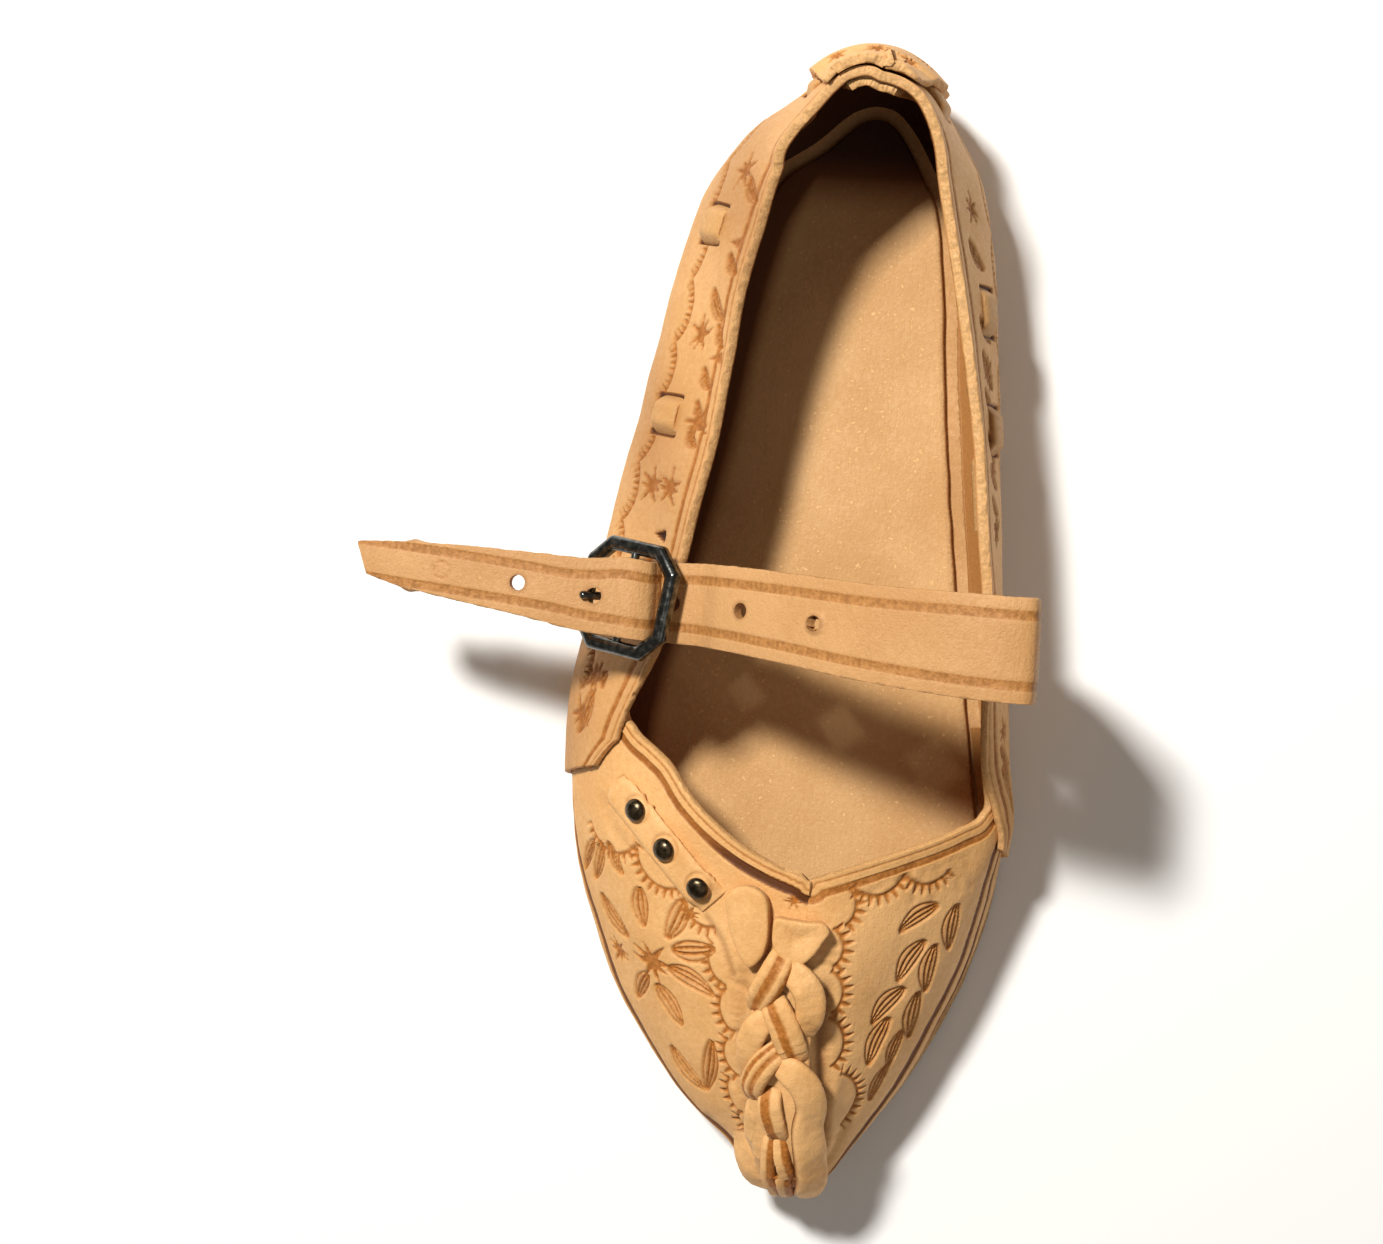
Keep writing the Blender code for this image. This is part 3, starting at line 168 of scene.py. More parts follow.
class Last:
    """The form that the leather was stretched over."""

    def __init__(self):
        ring = smooth_rows(LAST, True, 1401, [0, 1])
        along, across = ring[:, 0] * LENGTH, ring[:, 1] * BALL_WIDTH
        steps = np.hypot(np.gradient(along), np.gradient(across))
        self.inward_along = np.gradient(across) / steps
        self.inward_across = -np.gradient(along) / steps
        walk = np.concatenate(([0.0], np.cumsum(np.hypot(np.diff(along), np.diff(across)))))
        self.heel = np.argmin(along)
        self.walk = walk - walk[self.heel]
        self.along, self.across = along, across
        self.bulge = ring[:, 2] * HEEL_HEIGHT
        self.tuck = ring[:, 3] * BALL_WIDTH
        self.lean = ring[:, 4] * BALL_WIDTH
        self.rim = ring[:, 5] * HEEL_HEIGHT
        self.sole = ring[:, 6] * BALL_WIDTH
        self.crown = smooth_rows(CROWN, False, 301, [0]) * (LENGTH, BALL_WIDTH, INSTEP_HEIGHT)

    def read(self, name, walk):
        return np.interp(walk, self.walk, getattr(self, name))

    def walk_at(self, side, share):
        """Distance round the outline from the heel, outer side below zero."""
        along = np.asarray(share, float) * LENGTH
        if side < 0:
            part = slice(None, self.heel + 1)
            return np.interp(-along, -self.along[part], self.walk[part])
        part = slice(self.heel, None)
        return np.interp(along, self.along[part], self.walk[part])

    def plan(self, walk, inset):
        """Along and across on the outline, drawn in by an inset."""
        along = self.read("along", walk) + self.read("inward_along", walk) * inset
        across = self.read("across", walk) + self.read("inward_across", walk) * inset
        return along, across

    def points(self, walk, height):
        """Places on the last at distances round it and heights of its section."""
        walk, height = np.broadcast_arrays(np.asarray(walk, float), np.asarray(height, float))
        along = self.read("along", walk)
        floor = sole_top(along) + GAP
        tuck, lean = self.read("tuck", walk), self.read("lean", walk)

        def knot(inset, high):
            place_along, place_across = self.plan(walk, inset)
            return np.stack((place_across, place_along, floor + high), axis=-1)

        zero = np.zeros_like(tuck)
        feather, under = knot(tuck, zero), knot(tuck * 2.0, zero)
        bulge = knot(zero, self.read("bulge", walk))
        rim = knot(lean, self.read("rim", walk))
        throat = THROAT * LENGTH
        stretch = (CROWN_END * LENGTH - throat) / (self.along.max() - throat)
        crown_along = np.where(along > throat, throat + (along - throat) * stretch, along)
        crown_across = np.interp(crown_along, self.crown[:, 0], self.crown[:, 1])
        crown_height = np.interp(crown_along, self.crown[:, 0], self.crown[:, 2])
        crown = np.stack((crown_across, crown_along, sole_top(crown_along) + crown_height), -1)
        straight = (rim - bulge) / (RIM - BULGE)
        rounded = (crown - bulge) / (TOP - BULGE)
        turn = ease((along / LENGTH - ROUND_FROM) / ROUND_OVER)[..., None]
        tangents = ((bulge - under) / (BULGE * 2), (rim - feather) / (RIM - FEATHER),
                    straight * (1 - turn) + rounded * turn, (crown - rim) * (1.0, 1.0, 0.0))
        knots, heights = (feather, bulge, rim, crown), (FEATHER, BULGE, RIM, TOP)
        result = np.zeros(walk.shape + (3,))
        for i in range(3):
            low, high = heights[i], heights[i + 1]
            x = ((height - low) / (high - low))[..., None]
            curve = cubic(x, knots[i], knots[i + 1], tangents[i] * (high - low),
                          tangents[i + 1] * (high - low))
            inside = (height >= low) if i else (height < high)
            result = np.where(inside[..., None], curve, result)
        return result

    def outward(self, walk, height):
        """Directions that point out of the last's surface."""
        round_step = self.points(walk + 0.4, height) - self.points(walk - 0.4, height)
        up_step = self.points(walk, height + 0.01) - self.points(walk, height - 0.01)
        return unit(np.cross(round_step, up_step))

    def lifted(self, walk, height, lift):
        """Places off the last, and never below the top of the sole."""
        lift = np.asarray(lift, float)[..., None]
        moved = self.points(walk, height) + self.outward(walk, height) * lift
        moved[..., 2] = np.maximum(moved[..., 2], sole_top(moved[..., 1]) + GAP)
        return moved


last = Last()


def in_metres(points):
    """From across, along, height in millimetres to the part's x, y, z in metres."""
    points = np.asarray(points, float)
    return np.stack((points[..., 0], HEEL_SET - points[..., 1], points[..., 2]), -1) * 0.001


def ripple(points, size, seed):
    """Smooth unevenness between -1 and 1 at places in millimetres."""
    dice = np.random.default_rng(seed)
    total = np.zeros(points.shape[:-1])
    for _ in range(7):
        heading = dice.normal(size=3)
        heading /= np.linalg.norm(heading)
        pitch = size * dice.uniform(0.6, 1.6)
        total += np.sin(points @ heading * 2 * math.pi / pitch + dice.uniform(0, 2 * math.pi))
    return total / 3.2


def new_piece(name, verts, faces):
    """An object of its own mesh from places in millimetres."""
    mesh = bpy.data.meshes.new(name)
    mesh.from_pydata(in_metres(verts).tolist(), [], faces)
    mesh.update()
    piece = bpy.data.objects.new(name, mesh)
    bpy.context.collection.objects.link(piece)
    return piece


def make_piece(name, node, verts, faces, marks, finish, sharp):
    """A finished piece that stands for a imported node, with its marks for the leather.
    A mark that isn't given is blank."""
    piece = new_piece(name, verts, faces)
    mesh = piece.data
    blank = np.zeros(len(mesh.vertices))
    marks = {"dye": blank, "shade": blank, "cut": blank, "flesh": blank, **marks}
    for title, values in marks.items():
        layer = mesh.attributes.new(title, "FLOAT", "POINT")
        layer.data.foreach_set("value", np.asarray(values, np.float32).reshape(-1))
    mesh.shade_smooth()
    mesh.set_sharp_from_angle(angle=math.radians(sharp))
    mesh.materials.append(finish.made)
    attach(piece, "root")
    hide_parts(node)


class Signal:
    """A value in a finish's node tree, so that its sums are written as plain sums."""

    def __init__(self, finish, socket):
        self.finish, self.socket = finish, socket

    def sum(self, operation, one, two):
        return self.finish.node("ShaderNodeMath", {"operation": operation}, {0: one, 1: two})

    def __add__(self, other):
        return self.sum("ADD", self, other)

    def __sub__(self, other):
        return self.sum("SUBTRACT", self, other)

    def __mul__(self, other):
        return self.sum("MULTIPLY", self, other)

    def __rsub__(self, other):
        return self.sum("SUBTRACT", other, self)

    __radd__ = __add__
    __rmul__ = __mul__

    def most(self, other):
        return self.sum("MAXIMUM", self, other)

    def least(self, other):
        return self.sum("MINIMUM", self, other)

    def between(self, low, high):
        """0 below low, 1 above high and a smooth step between."""
        return self.finish.node(
            "ShaderNodeMapRange", {"interpolation_type": "SMOOTHSTEP"},
            {"Value": self, "From Min": low, "From Max": high})


class Finish:
    """A material while its nodes are being put together."""

    def __init__(self, name):
        self.made = bpy.data.materials.new(name)
        self.made.use_nodes = True
        self.tree = self.made.node_tree
        self.shader = self.tree.nodes["Principled BSDF"]
        self.place = self.node("ShaderNodeVectorMath", {"operation": "SCALE"}, {
            0: self.node("ShaderNodeTexCoord", {}, {}, "Object"), "Scale": 1000.0})

    def node(self, kind, settings, values, out=0):
        made = self.tree.nodes.new(kind)
        for name, value in settings.items():
            setattr(made, name, value)
        for key, value in values.items():
            self.feed(made.inputs[key], value)
        return Signal(self, made.outputs[out])

    def feed(self, socket, value):
        if isinstance(value, Signal):
            self.tree.links.new(value.socket, socket)
        else:
            socket.default_value = value

    def mark(self, title):
        return self.node("ShaderNodeAttribute", {"attribute_name": title}, {}, "Fac")

    def noise(self, scale, detail=3.0, rough=0.55, stretch=(1.0, 1.0, 1.0)):
        """Cloudy values about 0.5; scale is in waves a millimetre."""
        place = self.node("ShaderNodeVectorMath", {"operation": "MULTIPLY"},
                          {0: self.place, 1: stretch})
        return self.node("ShaderNodeTexNoise", {}, {
            "Vector": place, "Scale": scale, "Detail": detail, "Roughness": rough})

    def cells(self, scale):
        return self.node("ShaderNodeTexVoronoi", {}, {
            "Vector": self.place, "Scale": scale, "Randomness": 1.0}, "Distance")

    def sum_of(self, operation, value):
        return self.node("ShaderNodeMath", {"operation": operation}, {0: value})

    def blend(self, share, one, two):
        one = (*one, 1.0) if isinstance(one, tuple) else one
        two = (*two, 1.0) if isinstance(two, tuple) else two
        return self.node("ShaderNodeMix", {"data_type": "RGBA"}, {0: share, 6: one, 7: two}, 2)

    def set(self, **values):
        """Values or signals for the shader's own sockets, with _ for a space."""
        for name, value in values.items():
            self.feed(self.shader.inputs[name.replace("_", " ")], value)

    def bump(self, height, depth):
        """A normal from a height signal; depth in millimetres is a full step."""
        return self.node("ShaderNodeBump", {}, {
            "Height": height, "Distance": depth * 0.001, "Strength": 1.0})


def toned(colour, share, lift=0.0):
    """A colour made darker or paler."""
    return tuple(min(1.0, c * share + lift) for c in colour)


def leather(name, pale, deep, dye, flesh, grain=1.0, rough=0.62, stripes=None, worn_pale=0.0):
    """Natural vegetable-tanned leather. Dye marks the stamped brown, cut the raw edges,
    flesh the unfinished inside and shade is painted shade, which also deepens some dyed lines.
    Stripes are dyed lines at distances from a strap's edge, ticked by the roller."""
    skin = Finish(name)
    cloud = skin.noise(0.045, 2.0)
    fleck = skin.noise(0.8, 2.0, 0.65)
    base = skin.blend((cloud * 0.8 + fleck * 0.5).between(0.45, 0.85), pale, deep)
    pores = skin.cells(1.1).between(0.04, 0.28)
    base = skin.blend(pores * 0.22 + 0.78, toned(deep, 0.75), base)
    if worn_pale:
        base = skin.blend(fleck.between(0.60, 0.74) * worn_pale, base, toned(pale, 1.5, 0.04))
    dyed = skin.mark("dye")
    if stripes:
        inset, half = stripes
        gap = skin.sum_of("ABSOLUTE", skin.mark("rim") - inset)
        tick = skin.sum_of("SINE", skin.mark("run") * 5.2)
        line = 1.0 - gap.between(half - 0.25, half + 0.15)
        dyed = dyed.most(line * (tick * 0.07 + 0.86) * (1.0 - skin.mark("flesh")))
    dyed = (dyed * (fleck * 0.7 + 0.65)).least(1.0)
    stain = skin.blend(fleck.between(0.35, 0.65), dye, toned(dye, 0.74))
    colour = skin.blend(dyed, base, stain)
    fibre = skin.noise(1.4, 3.0, 0.7, (1.0, 1.0, 2.5)).between(0.3, 0.75)
    raw = skin.blend(fibre, toned(pale, 0.62), toned(pale, 1.05))
    colour = skin.blend(skin.mark("cut") * 0.85, colour, raw)
    inner = skin.blend(fibre, flesh, toned(flesh, 1.25))
    colour = skin.blend(skin.mark("flesh"), colour, inner)
    # Painted shade: the shade mark darkens the colour to deep red-brown and then near black.
    worn_and_shaded = skin.mark("shade")
    colour = skin.blend((worn_and_shaded * 1.7).least(1.0), colour, (0.200, 0.062, 0.011))
    colour = skin.blend((worn_and_shaded * 1.9 - 0.9).most(0.0), colour, (0.016, 0.003, 0.001))
    wrinkle = skin.noise(0.55, 2.0, 0.6, (1.7, 0.6, 1.0))
    height = pores * 0.3 + skin.noise(1.9, 2.0, 0.6) + wrinkle * 1.3
    skin.set(Base_Color=colour, Roughness=fleck * 0.30 + (rough - 0.15),
             Normal=skin.bump(height, 0.11 * grain), Specular_IOR_Level=0.34)
    return skin


sole_finish = leather("sole_leather", (0.62, 0.36, 0.16), (0.50, 0.27, 0.10),
                      (0.30, 0.12, 0.03), (0.45, 0.25, 0.11), 1.0, 0.7)


def sole_piece(name, node, inset, low_of, high_of, edge, rows, finish, painted_shade_of=None):
    """A flat leather piece cut to the last's plan and bent along the sole's line."""
    along, across = last.plan(last.walk, inset)
    outer, inner = slice(None, last.heel + 1), slice(last.heel, None)
    back, front = along.min() + 0.15, along.max() - 0.15
    at = back + (front - back) * (1 - np.cos(np.linspace(0.0, math.pi, rows))) / 2
    order = np.argsort(along[outer])
    left = np.interp(at, along[outer][order], across[outer][order])
    order = np.argsort(along[inner])
    right = np.interp(at, along[inner][order], across[inner][order])
    half, middle = (right - left) / 2, (right + left) / 2
    low, high = low_of(at), high_of(at)
    arc = np.linspace(-math.pi / 2, math.pi / 2, 7)
    flat = np.linspace(-1.0, 1.0, 60)[1:-1]
    round_edge = np.minimum(edge, half / 3)
    columns = [(half - round_edge * (1 - math.cos(angle)),
                (low + high) / 2 + ((high - low) / 2 * math.sin(angle))) for angle in arc]
    ring = [(x, z, 1.0) for x, z in columns]
    ring += [(-share * (half - round_edge), high, 0.0) for share in flat]
    ring += [(-x, z, 1.0) for x, z in reversed(columns)]
    ring += [(share * (half - round_edge), low, 0.0) for share in flat]
    points = np.stack([np.stack((middle + x, at, z + 0 * at), -1) for x, z, _ in ring], 1)
    cut = np.array([mark for _, _, mark in ring])
    cut = np.broadcast_to(cut, points.shape[:2]).copy()
    count = len(ring)
    faces = []
    for i in range(rows - 1):
        for j in range(count):
            k = (j + 1) % count
            faces.append((i * count + j, (i + 1) * count + j, (i + 1) * count + k, i * count + k))
    faces.append(tuple(range(count)))
    faces.append(tuple(range((rows - 1) * count, rows * count))[::-1])
    cut[0], cut[-1] = 1.0, 1.0
    nudge = ripple(points, 9.0, 5) * 0.10
    points[..., 0] += nudge * cut
    worn_and_shaded = painted_shade_of(points) if painted_shade_of else np.zeros(cut.shape)
    make_piece(name, node, points.reshape(-1, 3), faces, {"cut": cut, "shade": worn_and_shaded}, finish,
               SOLE_SHARP_ANGLE)


sole_piece("sole", "outsole", last.sole, sole_rise, sole_top, SOLE_EDGE, SOLE_ROWS,
           sole_finish)


# Insole: a thin smooth sock of the same hide laid on the outsole inside the upper. It is
# worn soft, with pale flecks and open pores, with painted shadow at the heel and outer wall.
INSOLE_THICKNESS = 1.8
INSOLE_EDGE = 0.5
INSOLE_ROWS = 220
UPPER_WALL = 1.8

insole_finish = leather("insole_leather", (0.68, 0.400, 0.172), (0.575, 0.310, 0.115),
                        (0.45, 0.20, 0.06), (0.6, 0.36, 0.18), 0.8, 0.58, None, 0.55)


def painted_foot_shadow(points):
    """Painted shadow on the sock, darkest at the heel and in a band along the outer wall."""
    heel = ease((0.130 - points[..., 1] / LENGTH) / 0.065)
    from_wall = points[..., 0] - points[..., 0].min(axis=1)[:, None]
    return np.maximum(heel * 0.90, ease((10.0 - from_wall) / 5.0) * 0.66)


sole_piece("sock", "insole", last.tuck + UPPER_WALL + GAP,
           lambda along: sole_top(along) + GAP,
           lambda along: sole_top(along) + GAP + INSOLE_THICKNESS,
           INSOLE_EDGE, INSOLE_ROWS, insole_finish, painted_foot_shadow)


# Vamp: two halves of natural hide that meet along the crown under the plait. Their top
# edges are cut and lined with brown, and the stamps were pressed and dyed by hand.
# Columns: share of LENGTH, height round the last's section
OUTER_ARM = ((0.53, 0.90), (0.56, 0.93), (0.585, 1.03), (0.605, 1.17), (0.622, 1.28),
             (0.645, 1.37), (0.667, 1.50), (0.685, 1.65), (0.696, 1.80), (THROAT, TOP))
INNER_ARM = ((0.57, 0.90), (0.62, 0.93), (0.641, 1.02), (0.655, 1.18), (0.673, 1.42),
             (0.688, 1.66), (0.698, 1.86), (THROAT, TOP))

# Half-moons with teeth, from end to end: share of LENGTH, share of BALL_WIDTH
OUTER_MOONS = (
    ((0.676, -0.500), (0.688, -0.378)),
    ((0.692, -0.380), (0.724, -0.280)),
    ((0.727, -0.264), (0.752, -0.190)),
    ((0.765, -0.190), (0.802, -0.155)),
    ((0.803, -0.153), (0.843, -0.134)),
    ((0.848, -0.148), (0.882, -0.120)),
    ((0.884, -0.142), (0.915, -0.106)),
    ((0.917, -0.118), (0.944, -0.068)),
)
INNER_TOP_MOONS = (
    ((0.708, 0.115), (0.695, 0.222)),
    ((0.695, 0.224), (0.689, 0.318)),
)
INNER_SIDE_MOONS = (
    ((0.708, 0.101), (0.741, 0.101)),
    ((0.743, 0.075), (0.777, 0.081)),
    ((0.780, 0.078), (0.818, 0.083)),
    ((0.821, 0.078), (0.866, 0.088)),
    ((0.870, 0.104), (0.922, 0.112)),
)

# Leaves from base to tip, then width and bend in millimetres
OUTER_LEAVES = (
    ((0.690, -0.455), (0.719, -0.413), 2.4, 0.4),
    ((0.691, -0.468), (0.728, -0.490), 2.6, -0.5),
    ((0.692, -0.488), (0.721, -0.520), 2.0, 0.3),
    ((0.739, -0.475), (0.774, -0.392), 3.2, 0.7),
    ((0.726, -0.372), (0.762, -0.354), 3.2, 0.5),
    ((0.731, -0.262), (0.769, -0.300), 3.4, -0.5),
    ((0.778, -0.288), (0.771, -0.180), 3.3, 0.4),
    ((0.794, -0.298), (0.813, -0.180), 3.0, -0.8),
    ((0.811, -0.327), (0.846, -0.255), 3.4, -0.6),
    ((0.803, -0.345), (0.829, -0.378), 2.6, 0.4),
    ((0.866, -0.290), (0.902, -0.196), 3.4, 0.9),
    ((0.852, -0.185), (0.902, -0.199), 2.8, -0.6),
)
INNER_LEAVES = (
    ((0.721, 0.301), (0.746, 0.214), 2.8, 1.0),
    ((0.719, 0.338), (0.763, 0.324), 3.2, 1.0),
    ((0.751, 0.275), (0.790, 0.218), 3.3, 1.2),
    ((0.754, 0.297), (0.800, 0.278), 3.2, 1.1),
    ((0.794, 0.237), (0.828, 0.168), 3.3, 1.2),
    ((0.797, 0.265), (0.843, 0.250), 3.3, 1.0),
    ((0.820, 0.208), (0.866, 0.163), 3.2, 1.2),
    ((0.832, 0.235), (0.869, 0.206), 2.6, 0.8),
    ((0.863, 0.208), (0.900, 0.170), 2.6, 0.9),
)
OUTER_BURSTS = (((0.792, -0.335), 6.4), ((0.789, -0.424), 4.2), ((0.744, -0.245), 2.8),
                ((0.722, -0.014), 2.4))

# Creases: where they run, then width and depth in millimetres and how much painted shade darkens
# them
OUTER_CREASES = (
    (((0.79, -0.115), (0.83, -0.118), (0.87, -0.108), (0.91, -0.095)), 1.6, 0.7, 0.10),
    (((0.633, -0.420), (0.644, -0.438), (0.658, -0.452)), 0.45, 0.9, 0.95),
    (((0.655, -0.470), (0.675, -0.440), (0.690, -0.410)), 1.8, 0.35, 0.05),
    (((0.745, -0.205), (0.765, -0.165), (0.790, -0.140)), 0.9, 0.35, 0.25),
    (((0.795, -0.140), (0.803, -0.105)), 1.0, 0.4, 0.15),
    (((0.842, -0.130), (0.852, -0.100)), 1.0, 0.4, 0.15),
    (((0.925, -0.115), (0.945, -0.085), (0.962, -0.05)), 1.3, 0.8, 0.10),
    (((0.93, -0.19), (0.95, -0.135), (0.965, -0.10)), 1.6, 0.6, 0.0),
    (((0.895, -0.13), (0.93, -0.10), (0.95, -0.07)), 1.2, -0.45, 0.0),
)
INNER_CREASES = (
    (((0.80, 0.064), (0.834, 0.062), (0.883, 0.070), (0.931, 0.068), (0.965, 0.055)),
     1.9, 1.5, 0.42),
    *((spots, 1.0, 0.22, 0.07) for spots in (
        ((0.690, 0.236), (0.712, 0.186)), ((0.692, 0.262), (0.718, 0.240)),
        ((0.690, 0.290), (0.720, 0.285)), ((0.683, 0.321), (0.708, 0.340)),
        ((0.699, 0.190), (0.714, 0.145)), ((0.680, 0.345), (0.705, 0.365)))),
    *((((along, 0.050), (along + 0.005, 0.085)), 0.8, 0.28, 0.08)
      for along in (0.752, 0.762, 0.771, 0.800, 0.812)),
    (((0.87, 0.105), (0.90, 0.090), (0.94, 0.085)), 1.5, -0.4, 0.0),
    (((0.90, 0.145), (0.93, 0.110), (0.955, 0.085)), 1.7, 0.5, 0.0),
)

# The dyed line low on each half: share of LENGTH, height in millimetres
OUTER_LOW_LINE = ((0.67, 12.0), (0.70, 12.5), (0.72, 13.0), (0.768, 13.6), (0.828, 13.4),
                  (0.869, 13.8), (0.95, 15.0))
INNER_LOW_LINE = ((0.68, 24.0), (0.70, 22.0), (0.726, 20.0), (0.781, 17.0), (0.835, 16.2),
                  (0.907, 15.4), (0.95, 15.0))
LINE_GAP = 4.6

# Where the halves cross at the throat: last share of LENGTH, lowest height
CROSSING_END, CROSSING_LOW = 0.732, 1.86
VAMP_ROWS, VAMP_COLUMNS = 401, 205
FLESH_STRIDE = 4
SHARP_ANGLE = 60.0
STAMP_REACH = 34

hide_finish = leather("upper_leather", (0.800, 0.455, 0.186), (0.690, 0.360, 0.124),
                      (0.470, 0.158, 0.020), (0.42, 0.19, 0.055))


def border_of(rows, columns):
    """Grid places round the edge of a sheet, in the order of its faces."""
    loop = [(i, 0) for i in range(rows)]
    loop += [(rows - 1, j) for j in range(1, columns)]
    loop += [(i, columns - 1) for i in range(rows - 2, -1, -1)]
    loop += [(0, j) for j in range(columns - 2, 0, -1)]
    return np.array(loop)


def grid_normal(face):
    """Directions that point off the grain side of a sheet."""
    return unit(np.cross(np.gradient(face, axis=0), np.gradient(face, axis=1)))


def quads_of(index):
    """Faces between the rows and columns of a grid of point numbers."""
    return np.stack((index[:-1, :-1], index[1:, :-1], index[1:, 1:], index[:-1, 1:]), -1)


def hide_piece(name, node, face, wall, marks, finish=hide_finish,
               stride=FLESH_STRIDE, removed=None, fray=0.06, worn_and_shaded=0.0):
    """A sheet of leather from the places of its grain side. The flesh side is a coarser
    grid, darkened by painted shade, and the raw edge between them is rounded and a little frayed.
    Removed faces leave an opening with a wall, where the stride is 1."""
    rows, columns = face.shape[:2]
    normal = grid_normal(face)
    wall = np.broadcast_to(np.asarray(wall, float), (rows, columns))
    index = np.arange(rows * columns).reshape(rows, columns)
    if removed is None:
        removed = np.zeros((rows - 1, columns - 1), bool)
    faces = quads_of(index)[~removed].tolist()
    loop = border_of(rows, columns)
    i, j = loop[:, 0], loop[:, 1]
    edge = face[i, j]
    out = edge - face[np.clip(i, 1, rows - 2), np.clip(j, 1, columns - 2)]
    out -= normal[i, j] * np.sum(out * normal[i, j], axis=1)[:, None]
    out = unit(out)
    blank = np.zeros((rows, columns))
    marks = {"dye": blank, "shade": blank, **marks}
    verts = [face.reshape(-1, 3)]
    layers = {title: [values.reshape(-1)] for title, values in marks.items()}
    layers["cut"], layers["flesh"] = [blank.reshape(-1)], [blank.reshape(-1)]
    before, count, base = index[i, j], len(loop), rows * columns
    follow = np.roll(np.arange(count), -1)
    thick = wall[i, j][:, None]
    for sink, push in ((0.14, 0.16), (0.45, 0.26), (0.80, 0.18)):
        wave = ripple(edge + sink * 7.0, 2.4, 11) * fray + ripple(edge, 0.9, 4) * fray * 0.6
        verts.append(edge - normal[i, j] * thick * sink + out * (push + wave)[:, None])
        after = np.arange(base, base + count)
        faces += np.stack((before[follow], before, after, after[follow]), -1).tolist()
        for title in marks:
            fade = {"dye": 0.3, "shade": 0.5}.get(title, 1.0)
            layers[title].append(marks[title][i, j] * fade)
        layers["cut"].append(np.ones(count))
        layers["flesh"].append(np.zeros(count))
        before, base = after, base + count
    back = (face - normal * wall[..., None])[::stride, ::stride]
    back_rows, back_columns = back.shape[:2]
    under = base + np.arange(back_rows * back_columns).reshape(back_rows, back_columns)
    verts.append(back.reshape(-1, 3))
    quads = quads_of(under)[..., [0, 3, 2, 1]]
    faces += (quads[~removed] if stride == 1 else quads.reshape(-1, 4)).tolist()
    back_loop = border_of(back_rows, back_columns)
    back_edge = under[back_loop[:, 0], back_loop[:, 1]]
    fine = list(before) + [before[0]]
    for k in range(len(back_edge)):
        run = [int(v) for v in fine[k * stride:(k + 1) * stride + 1]][::-1]
        faces.append(run + [int(back_edge[k]), int(back_edge[(k + 1) % len(back_edge)])])
    for a, b in np.argwhere(removed):
        ring = ((a, b), (a + 1, b), (a + 1, b + 1), (a, b + 1))
        for k, (da, db) in enumerate(((0, -1), (1, 0), (0, 1), (-1, 0))):
            if not removed[a + da, b + db]:
                one, two = ring[k], ring[(k + 1) % 4]
                faces.append((int(index[one]), int(index[two]), int(under[two]), int(under[one])))
    inside = {**marks, "dye": blank, "shade": np.broadcast_to(worn_and_shaded, (rows, columns))}
    for title in marks:
        layers[title].append(inside[title][::stride, ::stride].reshape(-1))
    layers["cut"].append(np.zeros(back.size // 3))
    layers["flesh"].append(np.ones(back.size // 3))
    layers = {title: np.concatenate(parts) for title, parts in layers.items()}
    make_piece(name, node, np.concatenate(verts), faces, layers, finish, SHARP_ANGLE)


def nearest_gap(points, line):
    """Distance of each place from the nearest point of a line."""
    gap = np.full(points.shape[:-1], 1e9)
    for spot in line:
        gap = np.minimum(gap, np.sum((points - spot) ** 2, axis=-1))
    return np.sqrt(gap)


def leaf_stamp(width, bend):
    """A pointed leaf with three veins, dyed more strongly towards its base."""
    def shape(u, v, length):
        share = np.clip(u / length, 0.0, 1.0)
        bow = np.sin(math.pi * share)
        half = width * 0.64 * bow**0.7 * (1.18 - 0.34 * share)
        v = v - bend * bow
        on = ease((share - 0.01) * 40) * ease((0.99 - share) * 40)
        line = np.zeros_like(u)
        for place, deep in ((-1.0, 1.0), (-0.40, 0.95), (0.22, 1.0), (1.0, 0.85)):
            line = np.maximum(line, np.exp(-((v - half * place) / 0.30) ** 2) * deep)
        body = ease((half - np.abs(v)) / 0.5)
        return on * (line * 0.62 + body * 0.12), on * (line + body * (0.42 - 0.34 * share))
    return shape


def moon_stamp(side, teeth_out=1, deep=0.50):
    """A half-moon line with short teeth standing off it."""
    def shape(u, v, length):
        v = v * side
        sag = 0.27 * length
        radius = (length**2 / 4 + sag**2) / (2 * sag)
        across, up = u - length / 2, v - (sag - radius)
        gap = (np.hypot(across, up) - radius) * teeth_out
        angle = np.arctan2(across, up)
        limit = math.asin(min(1.0, length / 2 / radius))
        on = ease((limit - np.abs(angle)) * 14 + 0.5)
        line = np.exp(-(gap / 0.42) ** 2) * on
        count = max(3, round(2 * limit * radius / 1.65))
        step = 2 * limit / count
        phase = np.abs((angle / step) % 1.0 - 0.5) * step * radius
        half = 0.70 * (1 - gap / 3.4)
        tooth = ease((half - phase) / 0.30) * ease(gap / 0.15 + 1) * ease((2.5 - gap) / 0.5) * on
        haze = ease(gap / 0.3 + 1) * ease((1.6 - gap) / 1.4) * on * 0.30
        return np.maximum(line, tooth) * deep, np.maximum(np.maximum(line, tooth), haze)
    return shape


